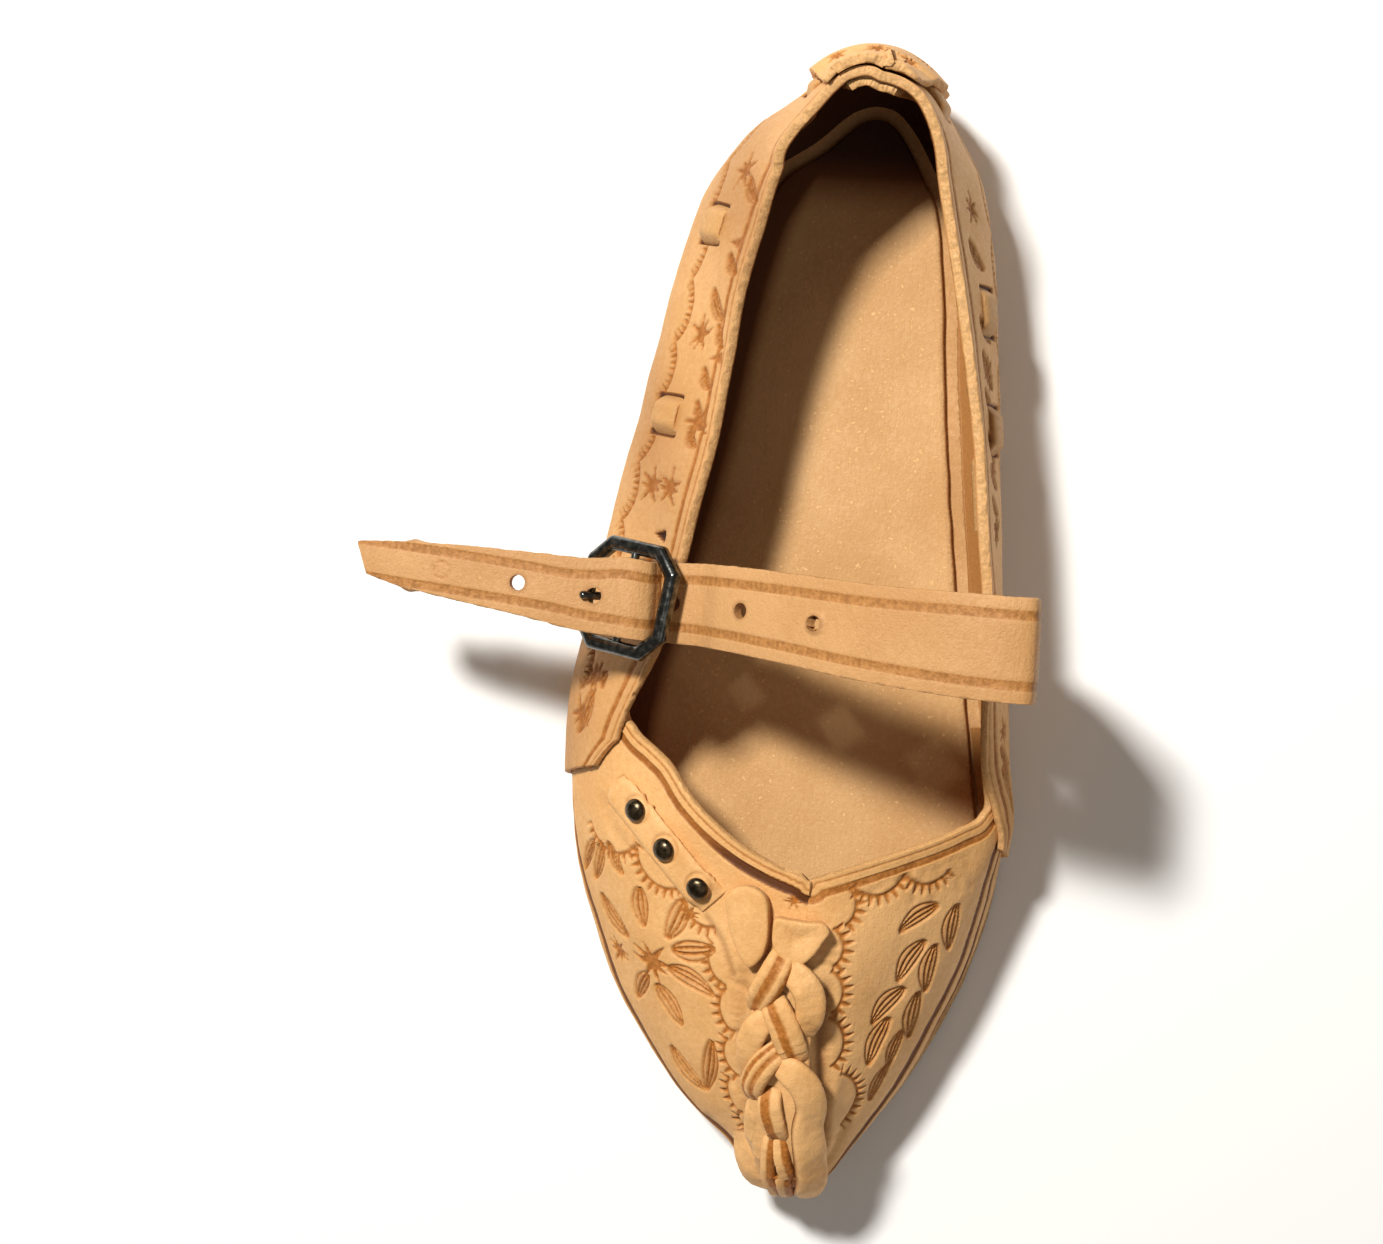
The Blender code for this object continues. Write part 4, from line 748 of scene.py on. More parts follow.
def burst_stamp(size, rays=8, turn=0.4):
    """A star of uneven rays about a small heart, centred where the stamp starts."""
    def shape(u, v, length):
        away, angle = np.hypot(u, v), np.arctan2(v, u)
        mark = ease((size * 0.34 - away) / 0.5)
        for k in range(rays):
            reach = size * (0.72 + 0.28 * abs(math.sin(k * 2.1 + size)))
            bend = turn + k * 2 * math.pi / rays + 0.35 * math.sin(k * 1.7) * away / size
            off = (angle - bend + math.pi) % (2 * math.pi) - math.pi
            wide = np.abs(np.sin(off)) * away
            ahead = np.cos(off) > 0
            half = size * 0.19 * (1 - away / reach) + 0.12
            mark = np.maximum(mark, ease((half - wide) / 0.25) * ease((reach - away) / 0.3) * ahead)
        return mark * 0.50, mark
    return shape


def wedge_stamp(u, v, length):
    """A small solid triangle from its base to its point."""
    half = 1.5 * (1 - u / length)
    mark = ease((half - np.abs(v)) / 0.35) * ease(u / 0.25 + 0.5)
    return mark * 0.38, mark


class Tooling:
    """Stamps and lines pressed into a sheet's grain side and dyed."""

    def __init__(self, face, seen):
        self.face, self.seen, self.normal = face, seen, grid_normal(face)
        self.depth, self.dye, self.shade = (np.zeros(face.shape[:2]) for _ in range(3))

    def spot(self, along, across):
        """Grid place seen from above at shares of LENGTH and BALL_WIDTH."""
        plan = np.hypot(self.face[..., 1] - along * LENGTH, self.face[..., 0] - across * BALL_WIDTH)
        return np.unravel_index(np.argmin(np.where(self.seen, plan, 1e6)), plan.shape)

    def press(self, one, two, shape):
        """Press a stamp laid from one grid place to another."""
        origin = self.face[one]
        normal = unit(self.normal[one] + self.normal[two])
        ahead = self.face[two] - origin
        ahead = ahead - normal * (ahead @ normal)
        length = np.linalg.norm(ahead)
        ahead /= length
        low = np.maximum(np.minimum(one, two) - STAMP_REACH, 0)
        high = np.maximum(one, two) + STAMP_REACH
        area = (slice(low[0], high[0]), slice(low[1], high[1]))
        local = self.face[area] - origin
        depth, dye = shape(local @ ahead, local @ np.cross(normal, ahead), length)
        near = ease(3.0 - np.abs(local @ normal) / 2.5)
        self.depth[area] = np.maximum(self.depth[area], depth * near)
        self.dye[area] = np.maximum(self.dye[area], dye * near)

    def stamp(self, start, end, shape):
        self.press(self.spot(*start), self.spot(*end), shape)

    def line(self, gap, middle, half, deep, dye, shade=0.0):
        """A line run at a distance along an edge."""
        mark = ease((half + 0.2 - np.abs(gap - middle)) / 0.4)
        self.depth = np.maximum(self.depth, mark * deep)
        self.dye = np.maximum(self.dye, mark * dye)
        self.shade = np.maximum(self.shade, mark * shade)

    def crease(self, spots, wide, deep, shade):
        """A soft fold along places given as for a stamp, with painted shade in it; a negative depth
        is a ridge.
        """
        rows = np.array(spots, float)
        path = smooth_rows(rows, False, 80, [0, 1])
        line = np.array([self.face[self.spot(*p)] for p in path])
        gap = nearest_gap(self.face, line) / wide
        fade = np.exp(-gap**2)
        self.depth = self.depth + fade * deep
        self.shade = np.maximum(self.shade, np.exp(-(gap * 1.4) ** 2) * shade)

    def done(self, soften, seed):
        """The face after stamping, with the hide's own unevenness."""
        uneven = ripple(self.face, 26.0, seed) * soften + ripple(self.face, 7.0, seed) * 0.05
        return self.face + self.normal * (uneven - self.depth)[..., None]

    def marks(self):
        return {"dye": self.dye, "shade": self.shade}


def vamp_grid(side, arm, rows, columns):
    """Distance round the last and height of each grid place of one half of the vamp."""
    turn = np.linspace(0.0, 1.0, rows)
    start, end = last.walk_at(side, arm[0][0]), (last.walk[0] if side < 0 else last.walk[-1])
    walks = start + (end - start) * turn
    share = last.read("along", walks) / LENGTH
    curve = smooth_rows(arm, False, 400, [0, 1])
    reach = np.where(share < THROAT, np.interp(share, curve[:, 0], curve[:, 1]), TOP)
    if side < 0:
        walks, reach = walks[::-1], reach[::-1]
    height = reach[:, None] * np.linspace(0.0, 1.0, columns)[None, :]
    return np.broadcast_to(walks[:, None], height.shape), height


for side, arm, name in ((-1, OUTER_ARM, "vamp_outer"), (1, INNER_ARM, "vamp_inner")):
    walk, height = vamp_grid(side, arm, VAMP_ROWS, VAMP_COLUMNS)
    share = last.read("along", walk) / LENGTH
    lap = ease((CROSSING_END - share) / 0.02) * ease((height - CROSSING_LOW) / 0.10)
    face = last.lifted(walk, height, lap * (0.9 if side < 0 else -0.3))
    tooling = Tooling(face, height > 0.5)
    behind = share[:, 0] < THROAT + 0.004
    edge_gap = nearest_gap(face, face[behind, -1])
    rise = face[..., 2]
    if side < 0:
        tooling.line(edge_gap, 1.1, 0.25, 0.12, 0.75)
        # Toward the apex the shade mark deepens the brown line and paints the slot at its end dark
        # as painted shade.
        apex = ease((share - 0.672) / 0.03)
        tooling.line(edge_gap, 3.4, 0.75 + 0.25 * apex, 0.30 + 0.3 * apex, 1.0, 0.25 + 0.5 * apex)
        low = np.interp(share, *zip(*OUTER_LOW_LINE))
        tooling.line(rise, low, 0.9, 0.30, 1.0, 0.60)
        moons, leaves, creases = [(OUTER_MOONS, 1)], OUTER_LEAVES, OUTER_CREASES
        for middle, size in OUTER_BURSTS:
            tooling.stamp(middle, (middle[0] + 0.01, middle[1]), burst_stamp(size))
    else:
        tooling.line(edge_gap, 0.9, 0.22, 0.12, 0.65)
        tooling.line(edge_gap, 3.3, 0.80, 0.25, 0.92, 0.05)
        low = np.interp(share, *zip(*INNER_LOW_LINE))
        tooling.line(rise, low, 0.95, 0.35, 1.0, 0.60)
        tooling.line(rise, low - LINE_GAP, 0.8, 0.30, 1.0, 0.70)
        moons = [(INNER_TOP_MOONS, 1), (INNER_SIDE_MOONS, -1)]
        leaves, creases = INNER_LEAVES, INNER_CREASES
    for rows, turned in moons:
        for start, end in rows:
            tooling.stamp(start, end, moon_stamp(turned))
    for start, end, wide, bend in leaves:
        tooling.stamp(start, end, leaf_stamp(wide, bend))
    for spots, wide, deep, dark in creases:
        tooling.crease(spots, wide, deep, dark)
    hide_piece(name, "upper", tooling.done(0.22, 3 + side), UPPER_WALL, tooling.marks())


# Quarter: one strip of the same hide round the heel, sewn behind, with a flap that lies
# over the vamp on each side. Its rim carries a stamped brown line and a raw pale edge.
QUARTER_LIFT = 1.6
QUARTER_WALL = 2.2
OUTER_FLAP = ((0.555, 1.0), (0.600, 0.97), (0.627, 0.84))
INNER_FLAP = ((0.600, 1.0), (0.645, 0.95), (0.672, 0.84))
FLAP_SLANT = 4.6
FLAP_SLANT_REACH = 22.0
QUARTER_ROWS, QUARTER_COLUMNS = 841, 101

# Where the heel thong passes through the wall: first and last share of LENGTH
OUTER_TABS = ((0.130, 0.164), (0.299, 0.330))
INNER_TABS = ((0.196, 0.236), (0.296, 0.336))
THONG_HEIGHT = 0.70
THONG_WIDTH = 9.0
THONG_HEEL = ((-1, 0.037), (1, 0.056))

# Stamps on the outer wall: share of LENGTH, share of BALL_WIDTH
WALL_MOON_ENDS = (
    (0.050, -0.205), (0.094, -0.288), (0.144, -0.325), (0.199, -0.352), (0.254, -0.384),
    (0.306, -0.411), (0.360, -0.448), (0.411, -0.478), (0.462, -0.505), (0.513, -0.530),
    (0.560, -0.548),
)
WALL_BURSTS = ((0.110, -0.231), (0.249, -0.312), (0.380, -0.402), (0.382, -0.352),
               (0.550, -0.508), (0.582, -0.540), (0.470, -0.430), (0.327, -0.300))
WALL_WEDGES = (((0.175, -0.222), (0.172, -0.254)), ((0.272, -0.250), (0.271, -0.286)),
               ((0.326, -0.276), (0.328, -0.308)))
WALL_NOTCH = ((0.423, -0.356), (0.422, -0.386))
WALL_LEAVES = (
    ((0.181, -0.251), (0.202, -0.226), 2.0, 0.8), ((0.210, -0.285), (0.242, -0.251), 2.4, 0.9),
    ((0.242, -0.268), (0.265, -0.252), 1.8, 0.6), ((0.279, -0.296), (0.299, -0.276), 2.0, 0.7),
    ((0.307, -0.305), (0.326, -0.290), 1.8, 0.6), ((0.333, -0.320), (0.348, -0.297), 1.8, 0.6),
    ((0.116, -0.222), (0.142, -0.194), 2.2, 0.8), ((0.559, -0.508), (0.600, -0.548), 2.8, -0.8),
    ((0.541, -0.478), (0.560, -0.488), 2.0, 0.6), ((0.440, -0.395), (0.470, -0.385), 2.4, 0.8),
)


def rim_distance(face):
    """Distance of each place from the top of its row, along the leather."""
    steps = np.linalg.norm(np.diff(face, axis=1), axis=-1)
    from_top = np.cumsum(steps[:, ::-1], axis=1)[:, ::-1]
    return np.concatenate((from_top, np.zeros((len(face), 1))), axis=1)


start, end = last.walk_at(-1, OUTER_FLAP[-1][0]), last.walk_at(1, INNER_FLAP[-1][0])
walks = np.linspace(start, end, QUARTER_ROWS)
share = last.read("along", walks) / LENGTH
top = np.where(walks < 0, np.interp(share, *zip(*OUTER_FLAP)), np.interp(share, *zip(*INNER_FLAP)))
rise = np.linspace(0.0, 1.0, QUARTER_COLUMNS)
height = top[:, None] * rise[None, :]
near_end = np.minimum(walks - start, end - walks)
slant = FLAP_SLANT * np.clip(1 - near_end / FLAP_SLANT_REACH, 0, 1) ** 1.5
walk = walks[:, None] + (np.sign(walks) * slant)[:, None] * (1 - rise[None, :])
over_vamp = ease((share - 0.50) / 0.06)
wall = (QUARTER_WALL - (QUARTER_WALL - QUARTER_LIFT + 0.1) * over_vamp)[:, None]
face = last.lifted(walk, height, QUARTER_LIFT)
tooling = Tooling(face, height > 0.5)
rim_gap = rim_distance(face)
tooling.line(rim_gap, 1.0, 0.22, 0.10, 0.75)
tooling.line(rim_gap, 3.6, 0.70, 0.25, 1.0, 0.10)


def inside_shade(walks):
    """How much painted shade darkens the wall inside, most at the heel and along the outer side."""
    in_heel = ease((0.17 - last.read("along", walks) / LENGTH) / 0.12)
    return np.maximum(in_heel * 0.93, ease(-walks / 25.0) * 0.74 + 0.14)


def inner_spot(along, high):
    """Grid place on the inner wall at a share of LENGTH and a height."""
    row = np.argmin(np.abs(walks - last.walk_at(1, along)))
    return row, np.argmin(np.abs(height[row] - high))


for start, end in zip(WALL_MOON_ENDS, WALL_MOON_ENDS[1:]):
    tooling.stamp(start, end, moon_stamp(-1, -1, 0.7))
    tooling.press(inner_spot(start[0], 0.50), inner_spot(end[0], 0.50), moon_stamp(1, -1))
for middle in WALL_BURSTS:
    tooling.stamp(middle, (middle[0] + 0.01, middle[1]), burst_stamp(5.0, 7, middle[0] * 9))
    tooling.press(inner_spot(middle[0] + 0.02, 0.76), inner_spot(middle[0] + 0.03, 0.76),
                  burst_stamp(4.2, 7, middle[0] * 5))
for start, end in WALL_WEDGES:
    tooling.stamp(start, end, wedge_stamp)
dyed = tooling.dye.copy()
tooling.dye[:] = 0.0
# Painted shade: the notch is pressed in and painted near black, as a hole in shadow.
tooling.stamp(*WALL_NOTCH, wedge_stamp)
tooling.shade = np.maximum(tooling.shade, tooling.dye * 0.97)
tooling.depth += tooling.dye * 0.5
tooling.dye = dyed
for start, end, wide, bend in WALL_LEAVES:
    tooling.stamp(start, end, leaf_stamp(wide, bend))
    tooling.press(inner_spot(start[0] + 0.04, 0.84), inner_spot(end[0] + 0.04, 0.70),
                  leaf_stamp(wide, bend))
thong_spans = [sorted(last.walk_at(-1, np.array(tab))) for tab in OUTER_TABS]
thong_spans += [sorted(last.walk_at(1, np.array(tab))) for tab in INNER_TABS]
thong_spans.append([last.walk_at(side, at) for side, at in THONG_HEEL])
middle_line = face[np.arange(len(walks)), np.argmin(np.abs(height - THONG_HEIGHT), axis=1)]
# Painted shade: each slit for the thong is pressed in and darkened; the wall is not cut.
for crossing in np.array(thong_spans).reshape(-1):
    row = np.argmin(np.abs(walks - crossing))
    local = np.linalg.norm(face - middle_line[row], axis=-1)
    slit = ease((THONG_WIDTH / 2 + 0.7 - local) / 0.6)
    slit = slit * ease((0.75 - np.abs(walk - crossing)) / 0.4)
    tooling.depth = np.maximum(tooling.depth, slit * 0.9)
    tooling.shade = np.maximum(tooling.shade, slit * 0.9)
# Painted shade: the inside of the wall is darkened at the heel and outer side, and the outer wall's
# face in soft bands.
worn_and_shaded = inside_shade(walks)[:, None] * (1.0 - 0.12 * rise[None, :])
painted_wall_shade = (0.04 + (0.14 + 0.04 * np.sin(walks / 9.0)) * ease(-walks / 25.0))[:, None]
painted_wall_shade = painted_wall_shade * (1.0 + 0.35 * np.sin(rise[None, :] * 7.0 + walks[:, None] / 11.0))
tooling.shade = np.maximum(tooling.shade, painted_wall_shade)
hide_piece("quarter", "upper", tooling.done(0.30, 9), wall, tooling.marks(), fray=0.13, worn_and_shaded=worn_and_shaded)


# Heel lap: the ragged end of the quarter, turned over its other end and glued down inside
# the heel, so that the back seam is closed without a stitch.
LAP_OUTER, LAP_INNER = 0.016, 0.028
LAP_LOW, LAP_HIGH = 0.52, 0.985
LAP_THICKNESS = 1.8
LAP_ROWS, LAP_COLUMNS = 121, 81

walks = np.linspace(last.walk_at(-1, LAP_OUTER), last.walk_at(1, LAP_INNER), LAP_ROWS)
walk, height = np.meshgrid(walks, np.linspace(LAP_LOW, LAP_HIGH, LAP_COLUMNS), indexing="ij")
face = last.lifted(walk, height, QUARTER_LIFT - QUARTER_WALL - 0.1)
# Painted shadow: the lap darkens towards its low edge, inside the heel.
lap_marks = {"shade": ease((LAP_HIGH - height) * 9 - 0.5) * 0.90}
hide_piece("heel_lap", "upper", face, LAP_THICKNESS, lap_marks, fray=0.22)


# Heel thong: a flat thong cut from the strap's hide, woven in and out of slits round the
# heel, so that it shows outside as short tabs.
THONG_THICKNESS = 1.7
THONG_PROUD = 0.75
THONG_RAMP = 4.6
THONG_OUTER_END = 0.425
THONG_INNER_END = 0.400
THONG_ROWS, THONG_COLUMNS = 481, 21
SEAT = 0.45

thong_finish = leather("thong_leather", (0.610, 0.338, 0.130), (0.520, 0.268, 0.090),
                       (0.440, 0.180, 0.040), (0.40, 0.19, 0.06), 1.2)
strap_finish = leather("strap_leather", (0.600, 0.324, 0.132), (0.512, 0.260, 0.095),
                       (0.440, 0.180, 0.040), (0.40, 0.19, 0.06), 1.3, 0.60, (3.3, 1.0), 0.25)


def thong_lift(walks):
    """Lift of the thong from the last, in and out through the slits."""
    outside = QUARTER_LIFT + THONG_THICKNESS * THONG_PROUD
    inside = QUARTER_LIFT - QUARTER_WALL - SEAT
    out = np.zeros_like(walks)
    for low, high in thong_spans:
        rise = np.minimum((walks - low) / THONG_RAMP + 0.5, (high - walks) / THONG_RAMP + 0.5)
        out = np.maximum(out, ease(rise))
    return inside + (outside - inside) * out


start, end = last.walk_at(-1, THONG_OUTER_END), last.walk_at(1, THONG_INNER_END)
walks = np.linspace(start, end, THONG_ROWS)
middle = last.points(walks, np.full_like(walks, THONG_HEIGHT))
above = last.points(walks, np.full_like(walks, THONG_HEIGHT + 0.1))
reach = THONG_WIDTH / 2 / (np.linalg.norm(above - middle, axis=1) / 0.1)
across = np.linspace(-1.0, 1.0, THONG_COLUMNS)
height = THONG_HEIGHT + reach[:, None] * across[None, :]
walk = np.broadcast_to(walks[:, None], height.shape)
swell = -0.55 * across**6 + 0.10 * np.cos(across * 2)
face = last.lifted(walk, height, thong_lift(walks)[:, None] + swell[None, :])
# Painted shade on the runs of the thong inside the wall, most at the heel and outer side.
inside = ease((QUARTER_LIFT - 0.6 - thong_lift(walks)) / 1.2)
worn_and_shaded = np.broadcast_to((inside * inside_shade(walks))[:, None], walk.shape)
hide_piece("thong", "heel_thong", face, THONG_THICKNESS, {"shade": worn_and_shaded}, thong_finish,
           worn_and_shaded=worn_and_shaded)


# Heel patch: a strip of the upper's hide laid over the back seam and the thong outside.
# Its ends were torn rather than cut, so they are ragged and stand off a little.
PATCH_OUTER, PATCH_INNER = 0.026, 0.036
PATCH_LOW, PATCH_HIGH = 0.46, 1.015
PATCH_THICKNESS = 2.0
PATCH_ROWS, PATCH_COLUMNS = 141, 101

walks = np.linspace(last.walk_at(-1, PATCH_OUTER), last.walk_at(1, PATCH_INNER), PATCH_ROWS)
highs = np.linspace(PATCH_LOW, PATCH_HIGH, PATCH_COLUMNS)
walk, height = np.meshgrid(walks, highs, indexing="ij")
lift = QUARTER_LIFT + SEAT + THONG_THICKNESS + SEAT + PATCH_THICKNESS
near_end = 1 - np.abs(np.linspace(-1.0, 1.0, PATCH_ROWS))[:, None]
thin = 0.95 * ease(1 - near_end / 0.25) * ease((height - 0.80) / 0.14)
over_thong = ease((0.135 - np.abs(height - THONG_HEIGHT)) / 0.05)
hug = 2.1 - 1.1 * over_thong
face = last.lifted(walk, height, lift - 0.1 - hug - thin)
tooling = Tooling(face, height > 0.0)
tooling.line(rim_distance(face), 1.0, 0.20, 0.10, 0.7)
tooling.line(rim_distance(face), 3.4, 0.65, 0.25, 1.0, 0.10)
for share in (0.2, 0.5, 0.8):
    row = int(share * (PATCH_ROWS - 1))
    tooling.press((row, 62), (row, 70), burst_stamp(3.4, 7, share * 5))
    tooling.press((row - 16, 30), (row + 16, 30), moon_stamp(1, -1))
hide_piece("patch", "heel_patch", tooling.done(0.15, 21), PATCH_THICKNESS - thin,
           tooling.marks(), fray=0.24)


# Stud strip: a narrow strip of the same hide along the outer arm of the throat, held by
# its three studs, with its top end cut off square.
STRIP_SEAT = 0.6
STUD_STRIP_WIDTH = 7.0
STUD_STRIP_THICKNESS = 1.5
STUD_STRIP_START = (0.638, -0.432)
STUD_STRIP_END = (0.730, -0.192)
STUDS = ((0.658, -0.381), (0.689, -0.306), (0.718, -0.227))
STUD_STRIP_ROWS, STUD_STRIP_COLUMNS = 105, 29
DROP_HEIGHT = 200.0


class OnVamp:
    """Places on the vamp's plain form, before it was stamped."""

    def __init__(self):
        verts, faces = [], []
        for side, arm in ((-1, OUTER_ARM), (1, INNER_ARM)):
            walk, height = vamp_grid(side, arm, 161, 81)
            grid = last.points(walk, height)
            index = len(verts) + np.arange(grid.size // 3).reshape(walk.shape)
            verts += grid.reshape(-1, 3).tolist()
            faces += quads_of(index).reshape(-1, 4).tolist()
        self.tree = BVHTree.FromPolygons(verts, faces)

    def near(self, point):
        """The nearest place and the direction off the vamp there."""
        spot, normal, _, _ = self.tree.find_nearest(Vector(point))
        return np.array(spot), np.array(normal) * (1 if normal.z > 0 else -1)

    def drop(self, along, across, lift):
        """A point over the vamp at a place seen from above, in millimetres."""
        above, down = Vector((across, along, DROP_HEIGHT)), Vector((0, 0, -1))
        spot, normal, _, _ = self.tree.ray_cast(above, down)
        return np.array(spot) + np.array(normal) * (1 if normal.z > 0 else -1) * lift


on_vamp = OnVamp()
start = np.array(STUD_STRIP_START) * (LENGTH, BALL_WIDTH)
end = np.array(STUD_STRIP_END) * (LENGTH, BALL_WIDTH)
ahead = (end - start) / np.linalg.norm(end - start)
beside = np.array((ahead[1], -ahead[0]))
face = []
for share in np.linspace(0.0, 1.0, STUD_STRIP_ROWS):
    half = STUD_STRIP_WIDTH / 2 * (0.72 + 0.28 * float(ease(share / 0.09)))
    sunk = 1.7 * float(ease((share - 0.86) / 0.14)) + 0.9 * float(ease((0.05 - share) / 0.05))
    face.append([on_vamp.drop(*(start + (end - start) * share + beside * half * step),
                              STRIP_SEAT + STUD_STRIP_THICKNESS - 0.6 * step**6 - sunk)
                 for step in np.linspace(-1.0, 1.0, STUD_STRIP_COLUMNS)])
tooling = Tooling(np.array(face), np.ones((STUD_STRIP_ROWS, STUD_STRIP_COLUMNS), bool))
for along, across in STUDS:
    away = np.linalg.norm(tooling.face - tooling.face[tooling.spot(along, across)], axis=-1)
    tooling.line(away, 2.95, 0.30, 0.28, 0.30)
hide_piece("strip_under_studs", "stud_strip", tooling.done(0.08, 31), STUD_STRIP_THICKNESS,
           tooling.marks())


# Studs: small domed rivets of dark bronze, clenched through the strip, each with a thin
# collar that beds in the leather.
STUD_DIAMETER = 4.6
STUD_HEIGHT = 1.5

bronze = Finish("stud_bronze")
tarnish = bronze.noise(0.9, 3.0)
bronze.set(Base_Color=bronze.blend(tarnish.between(0.35, 0.75), (0.055, 0.042, 0.028),
                                   (0.150, 0.105, 0.055)),
           Metallic=1.0, Roughness=tarnish * 0.35 + 0.12,
           Normal=bronze.bump(bronze.noise(2.5, 2.0), 0.02))


def select_verts(piece, wanted):
    """Select a piece's points that a test of their place accepts."""
    for part in (piece.data.vertices, piece.data.edges, piece.data.polygons):
        part.foreach_set("select", np.zeros(len(part), bool))
    for vertex in piece.data.vertices:
        vertex.select = wanted(vertex.co)


def bevelled(piece, width, segments):
    """Round the edges of the piece that is active."""
    bpy.ops.object.modifier_add(type="BEVEL")
    piece.modifiers[0].width, piece.modifiers[0].segments = width, segments
    bpy.ops.object.modifier_apply(modifier=piece.modifiers[0].name)


for number, (along, across) in enumerate(STUDS):
    spot = tooling.spot(along, across)
    low = in_metres(tooling.face[spot] + tooling.normal[spot] * (SEAT - 0.35))
    normal = Vector(tooling.normal[spot] * (1, -1, 1))
    bpy.ops.mesh.primitive_uv_sphere_add(segments=40, ring_count=24, radius=STUD_DIAMETER / 2000)
    stud = bpy.context.object
    stud.name = "stud_head_%d" % (number + 1)
    bpy.ops.object.mode_set(mode="EDIT")
    bpy.ops.mesh.select_all(action="SELECT")
    bpy.ops.mesh.bisect(plane_co=(0, 0, 0), plane_no=(0, 0, 1), use_fill=True, clear_inner=True)
    bpy.ops.mesh.select_all(action="SELECT")
    bpy.ops.transform.resize(value=(1.05, 1.05, STUD_HEIGHT / (STUD_DIAMETER / 2)))
    bpy.ops.object.mode_set(mode="OBJECT")
    select_verts(stud, lambda place: place.z < 0.00001)
    bpy.ops.object.mode_set(mode="EDIT")
    bpy.ops.mesh.extrude_region_move(TRANSFORM_OT_translate={"value": (0, 0, -0.00025)})
    bpy.ops.transform.resize(value=(1.08, 1.08, 1.0))
    bpy.ops.object.mode_set(mode="OBJECT")
    bevelled(stud, 0.00012, 2)
    stud.rotation_euler = normal.to_track_quat("Z", "Y").to_euler()
    stud.location = low
    bpy.ops.object.transform_apply(location=True, rotation=True, scale=True)
    bpy.ops.object.shade_smooth_by_angle(angle=math.radians(40))
    stud.data.materials.append(bronze.made)
    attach(stud, "root")
    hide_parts("stud_%d" % (number + 1))
    stud.select_set(False)


